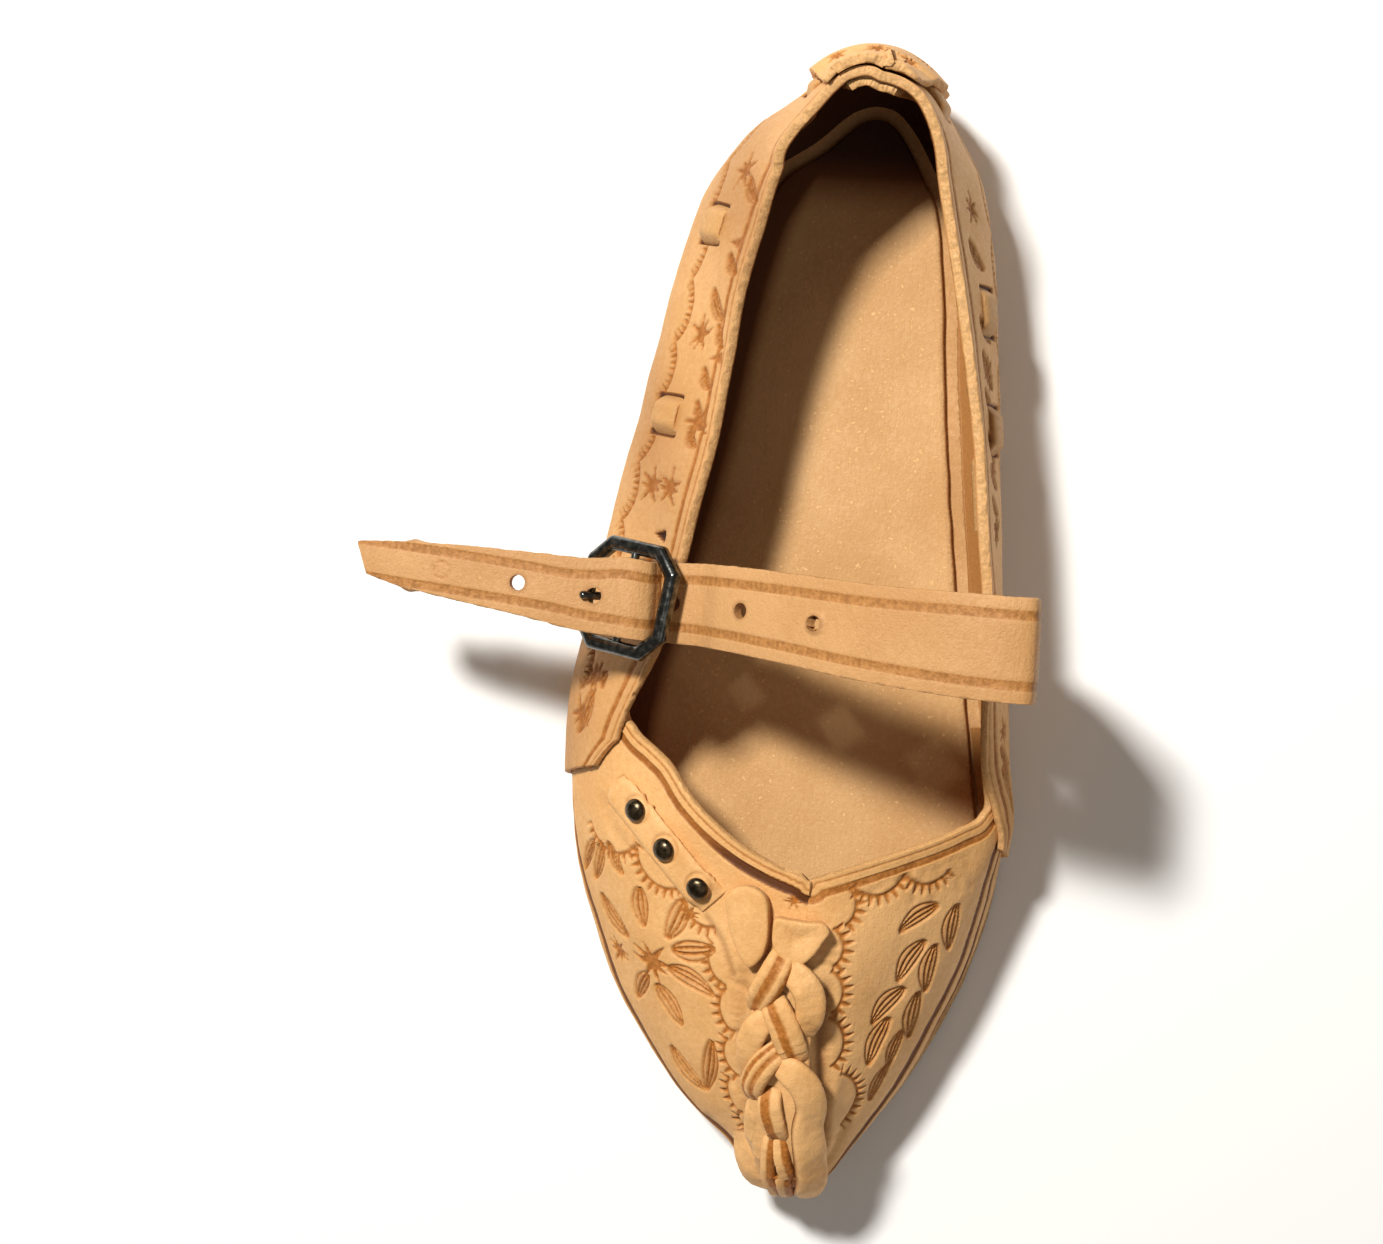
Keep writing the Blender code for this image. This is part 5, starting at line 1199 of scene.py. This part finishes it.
# Plait: soft strips of the vamp's own edges, laced over each other down the toe seam and
# turned under at the toe. Each kept the brown line that was stamped along its edge.
# Rows: along, across, height to look from in millimetres, lift, width, thickness
PLAIT_BED = ((0.775, -0.030, 41, 0.1, 9, 2.0), (0.800, -0.025, 40, 0.4, 12, 2.4),
             (0.850, -0.025, 37, 0.4, 13, 2.6), (0.900, -0.020, 33, 0.4, 13, 2.6),
             (0.940, -0.015, 28, 0.4, 12, 2.6), (0.972, -0.010, 18, 0.3, 10, 2.4))
PLAIT = (
    # Turned under at the toe, below the rest
    (((0.935, -0.125, 22, -0.8, 6.0, 2.2), (0.957, -0.098, 20, 0.1, 8.0, 2.8),
      (0.975, -0.064, 16, 0.3, 8.4, 3.0), (0.985, -0.034, 12, 0.1, 6.4, 2.4)), ()),
    (((0.930, 0.002, 30, 0.6, 2.2, 1.8), (0.948, 0.006, 27, 1.5, 2.4, 2.2),
      (0.965, 0.008, 22, 1.6, 2.4, 2.2), (0.982, 0.009, 15, 0.9, 2.2, 2.0)), ((0.0, 1.2),)),
    (((0.924, -0.036, 31, 0.8, 2.6, 1.8), (0.940, -0.034, 29, 2.0, 3.2, 2.4),
      (0.960, -0.029, 24, 2.2, 3.4, 2.4), (0.978, -0.027, 17, 1.8, 3.4, 2.4),
      (0.988, -0.027, 12, 0.6, 3.0, 2.0)), ((-0.55, 0.45),)),
    (((0.922, -0.014, 31, 1.0, 2.6, 1.8), (0.940, -0.010, 29, 2.4, 3.4, 2.4),
      (0.960, -0.006, 24, 2.6, 3.4, 2.4), (0.978, -0.005, 17, 2.1, 3.4, 2.4),
      (0.988, -0.005, 12, 0.7, 3.0, 2.0)), ((-0.60, 0.42),)),
    (((0.896, -0.082, 33, 0.5, 2.4, 1.6), (0.912, -0.080, 31, 1.5, 3.4, 2.0),
      (0.935, -0.076, 27, 1.7, 3.6, 2.0), (0.957, -0.060, 24, 0.6, 2.6, 1.6)), ()),
    # Crossings from the toe back to the turned ends
    (((0.880, -0.036, 35, 0.8, 4.4, 2.2), (0.892, -0.034, 34, 2.3, 5.2, 2.6),
      (0.905, -0.028, 33, 2.8, 5.4, 2.8), (0.918, -0.021, 32, 2.3, 5.0, 2.6),
      (0.931, -0.013, 31, 0.7, 4.2, 2.0)), ((0.30, 0.36),)),
    # The broad end, down the inner side to the toe
    (((0.857, -0.034, 37, 0.8, 5.0, 2.4), (0.862, -0.002, 36, 2.9, 6.2, 3.2),
      (0.874, 0.023, 35, 3.2, 6.6, 3.6), (0.893, 0.034, 33, 3.0, 6.6, 3.6),
      (0.912, 0.032, 32, 2.6, 6.8, 3.4), (0.933, 0.033, 29, 2.9, 7.4, 3.8),
      (0.955, 0.038, 25, 2.8, 7.2, 3.8), (0.975, 0.040, 19, 2.1, 6.6, 3.6),
      (0.987, 0.038, 14, 0.8, 5.2, 2.8)), ()),
    (((0.843, -0.008, 38, 0.9, 4.6, 2.2), (0.853, -0.036, 37, 2.9, 5.4, 2.8),
      (0.867, -0.060, 36, 3.1, 5.8, 3.0), (0.884, -0.073, 34, 2.3, 5.2, 2.6),
      (0.899, -0.064, 33, 0.4, 4.0, 2.0)), ((0.62, 0.16), (-0.12, 0.16))),
    (((0.817, -0.028, 39, 0.6, 4.6, 2.4), (0.825, -0.060, 38, 2.3, 5.6, 3.0),
      (0.842, -0.083, 37, 2.6, 5.8, 3.2), (0.862, -0.088, 35, 1.8, 5.0, 2.8),
      (0.882, -0.084, 34, 0.3, 4.0, 2.0)), ()),
    (((0.799, -0.048, 39, 1.0, 4.8, 2.2), (0.811, -0.031, 39, 2.9, 6.2, 2.8),
      (0.828, -0.011, 39, 3.3, 6.6, 3.0), (0.845, 0.003, 38, 2.8, 6.2, 2.8),
      (0.860, 0.012, 37, 0.5, 4.6, 2.0)), ((0.15, 0.34),)),
    (((0.774, -0.034, 40, 0.6, 5.0, 2.4), (0.782, 0.006, 40, 2.6, 6.0, 3.2),
      (0.797, 0.030, 40, 2.9, 6.4, 3.6), (0.815, 0.032, 39, 2.6, 6.0, 3.4),
      (0.836, 0.016, 38, 0.5, 4.6, 2.4)), ()),
    (((0.762, -0.020, 41, 1.2, 5.0, 2.2), (0.775, -0.032, 41, 3.1, 6.0, 2.8),
      (0.789, -0.047, 40, 3.4, 6.2, 3.0), (0.805, -0.067, 39, 2.6, 5.6, 2.6),
      (0.819, -0.084, 38, 0.5, 4.4, 2.0)), ((0.05, 0.32), (-0.95, 0.16))),
)
PLAIT_POINTS = 48
PLAIT_STEPS = 72


def inside_out(verts, faces):
    """Whether faces of four corners look into the space that they close in."""
    a, b, c, d = (in_metres(verts)[faces[:, k]] for k in range(4))
    return np.sum(a * np.cross(b, c)) + np.sum(a * np.cross(c, d)) < 0


def plait_strip(name, rows, stripes):
    """A soft rounded strip over the vamp, tucked down at both ends."""
    rows = np.array(rows, float) * (LENGTH, BALL_WIDTH, 1, 1, 1, 1)
    path = smooth_rows(rows, False, PLAIT_STEPS, [0, 1])
    found = [on_vamp.near((row[1], row[0], row[2])) for row in path]
    spots, normals = (np.array(part) for part in zip(*found))
    lift, wide, thick = path[:, 3], path[:, 4], path[:, 5]
    centre = spots + normals * lift[:, None]
    forward = unit(np.gradient(centre, axis=0))
    side = unit(np.cross(normals, forward))
    up = np.cross(forward, side)
    turn = np.arange(PLAIT_POINTS) * 2 * math.pi / PLAIT_POINTS
    x = np.sign(np.cos(turn)) * np.abs(np.cos(turn)) ** 0.66
    z = np.sign(np.sin(turn)) * np.abs(np.sin(turn)) ** 0.72
    for place, half in stripes:
        z = z - 0.14 * ease((half + 0.05 - np.abs(x - place)) / 0.12 + 0.5) * (z > 0.3)
    run = np.linspace(-1.0, 1.0, PLAIT_STEPS)
    shrink = np.sqrt(np.clip(1 - np.abs(run) ** 16, 0.02, 1.0))
    sideways = (x[None, :] * (wide * shrink)[:, None] / 2)[..., None]
    upward = (z[None, :] * (thick * shrink)[:, None] / 2)[..., None]
    points = centre[:, None] + side[:, None] * sideways + up[:, None] * upward
    lumps = ripple(points, 6.5, len(rows)) * 0.16 + ripple(points, 2.6, 8) * 0.05
    points += up[:, None] * (lumps * (z > 0)[None, :])[..., None]
    index = np.arange(PLAIT_STEPS * PLAIT_POINTS).reshape(PLAIT_STEPS, PLAIT_POINTS)
    after = np.roll(index, -1, axis=1)
    faces = np.stack((index[:-1], after[:-1], after[1:], index[1:]), -1).reshape(-1, 4)
    if inside_out(points.reshape(-1, 3), faces):
        faces = faces[:, ::-1]
    faces = faces.tolist()
    faces += [list(map(int, index[0]))[::-1], list(map(int, index[-1]))]
    dye = np.zeros(points.shape[:2])
    for place, half in stripes:
        dye = np.maximum(dye, ease((half - np.abs(x - place)) / 0.10 + 0.5)[None, :] * (z > 0))
    # Painted shade on the strip's sides and underside and at its tucked ends, where it meets the
    # vamp.
    tucked = ease((np.abs(run) - 0.86) / 0.14) * 0.55
    shade = np.maximum(ease(0.55 - z) * 0.62, tucked[:, None])
    make_piece(name, "braid", points.reshape(-1, 3), faces, {"dye": dye, "shade": shade},
               hide_finish, SHARP_ANGLE)


plait_strip("plait_bed", PLAIT_BED, ())
for number, (rows, stripes) in enumerate(PLAIT):
    plait_strip("plait_strip_%02d" % (number + 1), rows, stripes)


# Turned ends: at the head of the plait its two strips end in flat rounded tongues, one
# laid over the outer half and one turned back on itself like a cup.
# Outline: share of LENGTH, share of BALL_WIDTH
LOOP_OUTER_EDGE = ((0.720, -0.152), (0.713, -0.135), (0.711, -0.105), (0.717, -0.073),
                   (0.738, -0.060), (0.758, -0.060), (0.770, -0.068), (0.780, -0.095),
                   (0.770, -0.117), (0.754, -0.137), (0.737, -0.149))
LOOP_INNER_EDGE = ((0.736, -0.046), (0.736, -0.016), (0.737, 0.019), (0.738, 0.056),
                   (0.743, 0.064), (0.752, 0.053), (0.765, 0.034), (0.773, 0.012),
                   (0.775, -0.008), (0.770, -0.030), (0.760, -0.046), (0.746, -0.050))


def turned_end(name, node, outline, low, tall, dish):
    """A flat tongue with a rounded top, dished in its middle, and a steep cut edge."""
    ring = smooth_rows(np.array(outline) * (LENGTH, BALL_WIDTH), True, 97, [0, 1])[:-1]
    middle = ring.mean(axis=0)
    profile = ((0.90, 0.0), (0.99, 0.10), (1.0, 0.35), (1.0, 0.70), (0.975, 0.86), (0.93, 0.94),
               (0.85, 0.975), (0.70, 0.99), (0.5, 1.0), (0.25, 1.0))
    verts, faces, marks = [], [], []
    for share, rise in profile:
        cut = 1.0 if rise < 0.8 and share > 0.9 else 0.0
        for along, across in middle + (ring - middle) * share:
            hollow = dish * (1 - share) ** 1.5
            verts.append(on_vamp.drop(along, across, low + tall * rise - hollow))
            marks.append(cut)
    count = len(ring)
    for layer in range(len(profile) - 1):
        for i in range(count):
            k = (i + 1) % count
            a, b = layer * count, (layer + 1) * count
            faces.append((a + i, a + k, b + k, b + i))
    if inside_out(verts, np.array(faces)):
        faces = [face[::-1] for face in faces]
    top, under = len(verts), len(verts) + 1
    verts += [on_vamp.drop(*middle, low + tall - dish), on_vamp.drop(*middle, low)]
    marks += [0.0, 0.0]
    flip = faces[0][0] != 0
    last_layer = (len(profile) - 1) * count
    for i in range(count):
        k = (i + 1) % count
        cap, base = (last_layer + i, last_layer + k, top), (k, i, under)
        faces += [cap[::-1], base[::-1]] if flip else [cap, base]
    verts = np.array(verts)
    verts[:, 2] += ripple(verts, 6.0, len(name)) * 0.08
    make_piece(name, node, verts, faces, {"cut": marks}, hide_finish,
               SHARP_ANGLE)


turned_end("tongue_outer", "braid_loop_outer", LOOP_OUTER_EDGE, 0.45, 2.6, -0.3)
turned_end("tongue_inner", "braid_loop_inner", LOOP_INNER_EDGE, 0.45, 3.0, 1.1)


# Ankle strap: a strap cut from firmer hide, let through a slit in the inner wall, folded
# back over the foot and buckled. A roller stamped a ticked brown line along each edge.
STRAP_THICKNESS = 2.0
STRAP_WIDTH = 16.5
STRAP_HOLE = 3.2
HOLE_STEP = 15.6
STRAP_OVER_PIN, STRAP_PRONG_HOLE = -0.423, -0.486
STRAP_HOLES_INNER, STRAP_HOLES_OUTER = 3, 1
STRAP_ROWS, STRAP_COLUMNS = 521, 49
OVER_FOOT_ROW, PUNCH_ROW = 300, 460
PUNCH_MARK = -0.826

# Middle line: across, along, height of INSTEP_HEIGHT over the sole, width of STRAP_WIDTH
STRAP = (
    (0.302, 0.495, 0.60, 1.00),
    (0.330, 0.495, 0.69, 1.02),
    (0.392, 0.496, 0.80, 1.05),
    (0.438, 0.497, 1.05, 1.10),
    (0.456, 0.498, 1.40, 1.17),
    (0.464, 0.498, 1.70, 1.20),
    (0.463, 0.498, 1.79, 1.21),
    (0.448, 0.498, 1.855, 1.21),
    (0.420, 0.498, 1.860, 1.21),
    (0.340, 0.497, 1.83, 1.20),
    (0.141, 0.493, 1.66, 1.13),
    (-0.074, 0.485, 1.38, 1.06),
    (-0.200, 0.481, 1.17, 1.02),
    (-0.270, 0.480, 1.020, 1.00),
    (-0.322, 0.480, 0.985, 0.98),
    (-0.344, 0.480, 0.985, 0.96),
    (-0.360, 0.480, 1.030, 0.96),
    (-0.378, 0.480, 1.092, 0.96),
    (-0.400, 0.479, 1.110, 0.97),
    (-0.423, 0.478, 1.113, 0.97),
    (-0.486, 0.478, 1.120, 0.91),
    (-0.638, 0.472, 1.104, 0.78),
    (-0.800, 0.466, 1.068, 0.66),
    (-0.920, 0.462, 1.032, 0.54),
    (-1.010, 0.459, 1.000, 0.40),
)


def ribbon(centre, side, width, offset, columns, row, outward):
    """A grid along a line of centre points, raised by offset, and its edge distances.
    Its grain side looks outward at the row that is named."""
    forward = unit(np.gradient(centre, axis=0))
    side = np.broadcast_to(side, centre.shape)
    side = unit(side - forward * np.sum(side * forward, axis=1)[:, None])
    up = np.cross(forward, side)
    if np.dot(up[row], outward) < 0:
        side, up = -side, -up
    share = np.linspace(-1.0, 1.0, columns)
    half = np.broadcast_to(np.asarray(width, float) / 2, len(centre))
    grid = (centre[:, None] + side[:, None] * (half[:, None] * share[None, :])[..., None]
            + up[:, None] * offset)
    rim = half[:, None] * (1 - np.abs(share))[None, :]
    return grid, rim, up


def opened(grid, normal, spot, radius):
    """Draw a grid's nearest places back to a round hole and mark the faces inside it."""
    local = grid - spot
    flat = local - normal * (local @ normal)[..., None]
    far = (np.linalg.norm(flat, axis=-1) > radius * 2) | (np.abs(local @ normal) > 4.0)
    away = np.linalg.norm(flat, axis=-1)
    away[far] = 1e3
    centres = (away[:-1, :-1] + away[1:, :-1] + away[1:, 1:] + away[:-1, 1:]) / 4
    removed = centres < radius
    touched, kept = np.zeros(away.shape, bool), np.zeros(away.shape, bool)
    for mark, faces in ((touched, removed), (kept, ~removed)):
        for a, b in ((0, 0), (1, 0), (1, 1), (0, 1)):
            mark[a:a + faces.shape[0], b:b + faces.shape[1]] |= faces
    rim = touched & kept
    grid[rim] += flat[rim] * (radius / away[rim] - 1)[:, None]
    return removed


rows = smooth_rows(STRAP, False, STRAP_ROWS, [0, 2])
centre = np.stack((rows[:, 0] * BALL_WIDTH, rows[:, 1] * LENGTH,
                   rows[:, 2] * INSTEP_HEIGHT + SOLE_THICKNESS), -1)
width = rows[:, 3] * STRAP_WIDTH
run = np.concatenate(([0.0], np.cumsum(np.linalg.norm(np.diff(centre, axis=0), axis=1))))
top, rim, up = ribbon(centre, np.array((0.0, 1.0, 0.0)), width, STRAP_THICKNESS / 2,
                      STRAP_COLUMNS, OVER_FOOT_ROW, np.array((0.0, 0.0, 1.0)))
long_run = np.arange(STRAP_ROWS) > np.argmax(centre[:, 0])


def strap_place(across):
    """A point of the strap's long run over the foot, at a share of BALL_WIDTH."""
    order = np.argsort(centre[long_run, 0])
    flat = centre[long_run][order]
    return np.array([np.interp(across * BALL_WIDTH, flat[:, 0], flat[:, i]) for i in range(3)])


removed = np.zeros((STRAP_ROWS - 1, STRAP_COLUMNS - 1), bool)
away = np.full(top.shape[:2], 9.0)
for number in range(-STRAP_HOLES_INNER, STRAP_HOLES_OUTER + 1):
    spot = strap_place(STRAP_PRONG_HOLE - number * HOLE_STEP / BALL_WIDTH)
    row = np.argmin(np.linalg.norm(centre - spot, axis=1) + ~long_run * 99.0)
    removed |= opened(top, up[row], centre[row], STRAP_HOLE / 2)
    away = np.minimum(away, np.linalg.norm(top - spot, axis=-1))
tooling = Tooling(top, np.broadcast_to(long_run[:, None], top.shape[:2]))
# Painted shade round the punched holes.
tooling.shade = np.maximum(tooling.shade, ease((2.7 - away) / 1.2) * 0.35)
punch = strap_place(PUNCH_MARK) + up[PUNCH_ROW] * STRAP_THICKNESS / 2
tooling.line(np.linalg.norm(top - punch, axis=-1), 1.7, 0.15, 0.30, 0.55)
from_tip = run[-1] - run
tapered = np.maximum(0.85 * STRAP_WIDTH - width, 0.0) / 2 * ease((-0.50 - rows[:, 0]) / 0.14)
rim = rim + tapered[:, None]
tooling.line(rim, 3.3, 0.85, 0.14, 0.0)
wander = ripple(top, 34.0, 7) * 0.35 * ease((top[..., 0] + 30) / 20)
curl = -0.30 * (1 - np.clip(rim / rim.max(), 0.0, 1.0)) ** 4
worn_and_shaded = top + tooling.normal * ((wander + curl) * (away > 2.4) - tooling.depth)[..., None]
slant = (1.4 * ease(1 - from_tip / 9.0))[:, None]
slant = slant * np.linspace(-1.0, 1.0, STRAP_COLUMNS)[None, :]
worn_and_shaded[..., 0] -= slant * np.sign(worn_and_shaded[-1, 0, 1] - worn_and_shaded[-1, -1, 1])
marks = {**tooling.marks(), "rim": rim, "run": np.broadcast_to(run[:, None], rim.shape)}
hide_piece("strap", "ankle_strap", worn_and_shaded, STRAP_THICKNESS, marks, strap_finish,
           1, removed)


# Buckle: a cut-cornered frame of dark blued steel with a bevelled face. Its pin is held
# by the leather tab, and the tongue turns on the pin and stands through the strap.
BUCKLE_BAR = 3.0
BUCKLE_THICKNESS = 2.4
BUCKLE_LENGTH = 24.0
BUCKLE_CORNER = 5.0
BUCKLE_CHAMFER = 0.7
BUCKLE_SLOPE = 31.0
BUCKLE_TURN = 9.0
BUCKLE_PLAY = 1.4
PIN_DIAMETER = 1.8
PRONG_DIAMETER = 1.8
PRONG_TIP_REACH = 3.2
STRAP_CLEARANCE = 1.3
TAB_THICKNESS = 1.3

steel = Finish("dark_metal")
wear = steel.noise(0.7, 3.0)
steel.set(Base_Color=steel.blend(wear.between(0.40, 0.75), (0.085, 0.090, 0.088),
                                 (0.240, 0.235, 0.215)),
          Metallic=1.0, Roughness=wear * 0.26 + 0.08,
          Normal=steel.bump(steel.noise(1.6, 2.0), 0.03))


class Buckle:
    """Place of the buckle: the middle of its pin and its three directions."""

    def __init__(self):
        over = strap_place(STRAP_OVER_PIN)
        drop = PIN_DIAMETER / 2 + SEAT + TAB_THICKNESS + GAP + STRAP_THICKNESS / 2
        slope, turn = math.radians(BUCKLE_SLOPE), math.radians(BUCKLE_TURN)
        self.middle = over - np.array((0.0, 0.0, drop + STRAP_CLEARANCE))
        self.out = np.array((-math.cos(slope) * math.cos(turn), -math.sin(turn) * math.cos(slope),
                             -math.sin(slope)))
        self.side = np.array((-math.sin(turn), math.cos(turn), 0.0))
        self.up = np.cross(self.side, self.out)
        self.window = STRAP_WIDTH + BUCKLE_PLAY

    def at(self, out, side, up):
        return self.middle + self.out * out + self.side * side + self.up * up


buckle = Buckle()


def metal_piece(piece, node, bevel=0.0):
    """Bevel, smooth and finish a piece of the buckle that is already in its place."""
    bpy.ops.object.select_all(action="DESELECT")
    bpy.context.view_layer.objects.active = piece
    piece.select_set(True)
    if bevel:
        bevelled(piece, bevel, 5)
    bpy.ops.object.mode_set(mode="EDIT")
    bpy.ops.mesh.select_all(action="SELECT")
    bpy.ops.mesh.normals_make_consistent(inside=False)
    bpy.ops.object.mode_set(mode="OBJECT")
    bpy.ops.object.transform_apply(location=True, rotation=True, scale=True)
    bpy.ops.object.shade_smooth_by_angle(angle=math.radians(35))
    piece.data.materials.append(steel.made)
    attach(piece, "root")
    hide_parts(node)
    piece.select_set(False)


def corner_ring(inset):
    """The frame's outline with its corners cut, inset from the outer edge."""
    length, width = BUCKLE_LENGTH / 2 - inset, buckle.window / 2 + BUCKLE_BAR - inset
    cut = BUCKLE_CORNER - inset * (2 - math.sqrt(2))
    quarter = ((length, width - cut), (length - cut, width))
    ring = list(quarter)
    ring += [(-x, y) for x, y in reversed(quarter)]
    ring += [(-x, -y) for x, y in quarter]
    ring += [(x, -y) for x, y in reversed(quarter)]
    return ring


half, shoulder = BUCKLE_THICKNESS / 2, BUCKLE_THICKNESS / 2 - BUCKLE_CHAMFER
profile = ((0.0, -half), (0.0, shoulder), (BUCKLE_CHAMFER, half),
           (BUCKLE_BAR - BUCKLE_CHAMFER, half), (BUCKLE_BAR, shoulder), (BUCKLE_BAR, -half))
verts = [buckle.at(x, y, up) for inset, up in profile for x, y in corner_ring(inset)]
faces = []
for k in range(len(profile)):
    a, b = k * 8, (k + 1) % len(profile) * 8
    faces += [(a + i, a + (i + 1) % 8, b + (i + 1) % 8, b + i) for i in range(8)]
metal_piece(new_piece("buckle_rim", verts, faces), "buckle_frame", 0.00065)


def bar_between(start, end, radius, tip):
    """A round bar from start to end in millimetres, thinner at its tip."""
    start, end = Vector(in_metres(start)), Vector(in_metres(end))
    span = end - start
    bpy.ops.mesh.primitive_cone_add(vertices=32, radius1=radius * 0.001, radius2=tip * 0.001,
                                    depth=span.length, location=(start + end) / 2,
                                    rotation=span.to_track_quat("Z", "Y").to_euler())
    return bpy.context.object


reach = buckle.window / 2 + BUCKLE_BAR / 2
pin = bar_between(buckle.at(0, -reach, 0), buckle.at(0, reach, 0), PIN_DIAMETER / 2,
                  PIN_DIAMETER / 2)
pin.name = "buckle_pin"
metal_piece(pin, "buckle_frame", 0.0002)

hole = strap_place(STRAP_PRONG_HOLE)
rise = unit(hole - buckle.middle)
start = buckle.middle + rise * (PIN_DIAMETER / 2 + GAP + PRONG_DIAMETER / 4)
arm = bar_between(start, hole + rise * PRONG_TIP_REACH, PRONG_DIAMETER / 2, PRONG_DIAMETER * 0.46)
arm.name = "prong_arm"
metal_piece(arm, "buckle_prong", 0.00062)
axis = Vector(in_metres(buckle.at(0, 1, 0))) - Vector(in_metres(buckle.at(0, 0, 0)))
wire = PRONG_DIAMETER * 0.30
bpy.ops.mesh.primitive_torus_add(major_segments=40, minor_segments=20,
                                 major_radius=(PIN_DIAMETER / 2 + GAP + wire) * 0.001,
                                 minor_radius=wire * 0.001, location=in_metres(buckle.middle),
                                 rotation=axis.to_track_quat("Z", "Y").to_euler())
ring = bpy.context.object
ring.name = "prong_eye"
metal_piece(ring, "buckle_prong")


# Buckle tab: a short strip of the strap's hide folded round the pin, slit for the tongue,
# with both its ends let through the wall and glued inside.
TAB_WIDTH = 11.0
TAB_HEIGHT = 0.72
TAB_SLIT = (5.0, 2.9)
TAB_ROWS, TAB_COLUMNS = 121, 25

radius = PIN_DIAMETER / 2 + SEAT + TAB_THICKNESS / 2
walk = last.walk_at(-1, buckle.middle[1] / LENGTH)
outside = last.lifted(walk, TAB_HEIGHT, QUARTER_LIFT + TAB_THICKNESS * 1.5)
inside = last.lifted(walk, TAB_HEIGHT, QUARTER_LIFT - QUARTER_WALL - TAB_THICKNESS * 2.5)
inside += buckle.side * np.dot(buckle.middle - inside, buckle.side)
outside += buckle.side * np.dot(buckle.middle - outside, buckle.side)
down = unit(outside - buckle.middle)
across = np.cross(down, buckle.side)
sideways = np.cross(unit(outside - inside), buckle.side)
sideways *= 1 if np.dot(sideways, across) > 0 else -1
offset = TAB_THICKNESS / 2 + GAP / 2
arc = [buckle.middle - down * radius * math.cos(angle) + across * radius * math.sin(angle)
       for angle in np.radians((100, 75, 50, 25, 0, -25, -50, -75, -100))]
ends = (inside, (inside + outside) / 2, outside)
line = [end + sideways * offset for end in ends]
line += [(line[-1] + arc[0]) / 2] + arc
line += [(arc[-1] + outside - sideways * offset) / 2]
line += [end - sideways * offset for end in ends[::-1]]
line = np.array(line)
steps = np.concatenate(([0.0], np.cumsum(np.linalg.norm(np.diff(line, axis=0), axis=1))))
at = np.linspace(0.0, steps[-1], TAB_ROWS)
line = np.stack([np.interp(at, steps, line[:, i]) for i in range(3)], -1)
for _ in range(3):
    line[1:-1] = (line[:-2] + line[1:-1] * 2 + line[2:]) / 4
fold = TAB_ROWS // 2
face, rim, up = ribbon(line, buckle.side, TAB_WIDTH, TAB_THICKNESS / 2, TAB_COLUMNS, fold,
                       line[fold] - buckle.middle)
local = face - buckle.middle
removed = (local @ rise > 0) & (np.abs(local @ buckle.side) < TAB_SLIT[1] / 2)
removed &= np.linalg.norm(local, axis=-1) < TAB_SLIT[0]
removed = removed[:-1, :-1] & removed[1:, 1:]
tab_marks = {"rim": np.full(rim.shape, 20.0), "run": np.broadcast_to(at[:, None], rim.shape)}
hide_piece("tab", "buckle_tab", face, TAB_THICKNESS, tab_marks, strap_finish,
           1, removed)


# Floor, light and camera: a plain pale floor under soft light from the upper left of the
# picture, seen from straight above with the toes towards the bottom of the picture.
CAMERA_PLACE = Vector((0.0404, -0.0815, 0.600))
CAMERA_AIM = Vector((-0.0286, -0.0885, 0.020))
PICTURE_UP = Vector((-0.0671, 0.9977, 0.0))
FOCAL_LENGTH = 71.6
FLOOR_SIZE = 6.0
FLOOR_DROP = 0.0003
LIGHT_AIM = Vector((-0.01, -0.08, 0.02))

bpy.ops.mesh.primitive_plane_add(size=FLOOR_SIZE, location=(0.0, 0.0, -FLOOR_DROP))
floor = bpy.context.object
floor.name = "floor"
bpy.ops.object.transform_apply(location=True, rotation=False, scale=False)
pale = Finish("pale_floor")
pale.set(Base_Color=(0.93, 0.93, 0.93, 1.0), Roughness=0.85)
floor.data.materials.append(pale.made)


def soft_light(name, place, size, power, colour):
    """A square lamp at a place, turned to the shoe."""
    bpy.ops.object.light_add(type="AREA", location=place)
    lamp = bpy.context.object
    lamp.name = name
    lamp.data.size, lamp.data.energy, lamp.data.color = size, power, colour
    lamp.rotation_euler = (LIGHT_AIM - Vector(place)).to_track_quat("-Z", "Y").to_euler()


soft_light("key", (-0.36, 0.38, 0.98), 0.14, 16.2, (1.0, 0.985, 0.94))
soft_light("fill", (0.45, -0.55, 0.95), 0.9, 1.2, (1.0, 0.95, 0.88))

world = bpy.data.worlds.new("soft_room")
bpy.context.scene.world = world
world.use_nodes = True
room = world.node_tree.nodes["Background"].inputs
room["Color"].default_value = (1.0, 0.91, 0.80, 1.0)
room["Strength"].default_value = 0.15
bpy.context.scene.view_settings.view_transform = "Standard"

bpy.ops.object.camera_add(location=CAMERA_PLACE)
camera = bpy.context.object
camera.data.lens = FOCAL_LENGTH
camera.data.sensor_width = 36.0
camera.data.clip_start, camera.data.clip_end = 0.01, 10.0
back = (CAMERA_PLACE - CAMERA_AIM).normalized()
right = PICTURE_UP.cross(back).normalized()
turned_up = back.cross(right)
camera.matrix_world = Matrix((
    (right.x, turned_up.x, back.x, CAMERA_PLACE.x),
    (right.y, turned_up.y, back.y, CAMERA_PLACE.y),
    (right.z, turned_up.z, back.z, CAMERA_PLACE.z),
    (0.0, 0.0, 0.0, 1.0),
))
bpy.context.scene.camera = camera
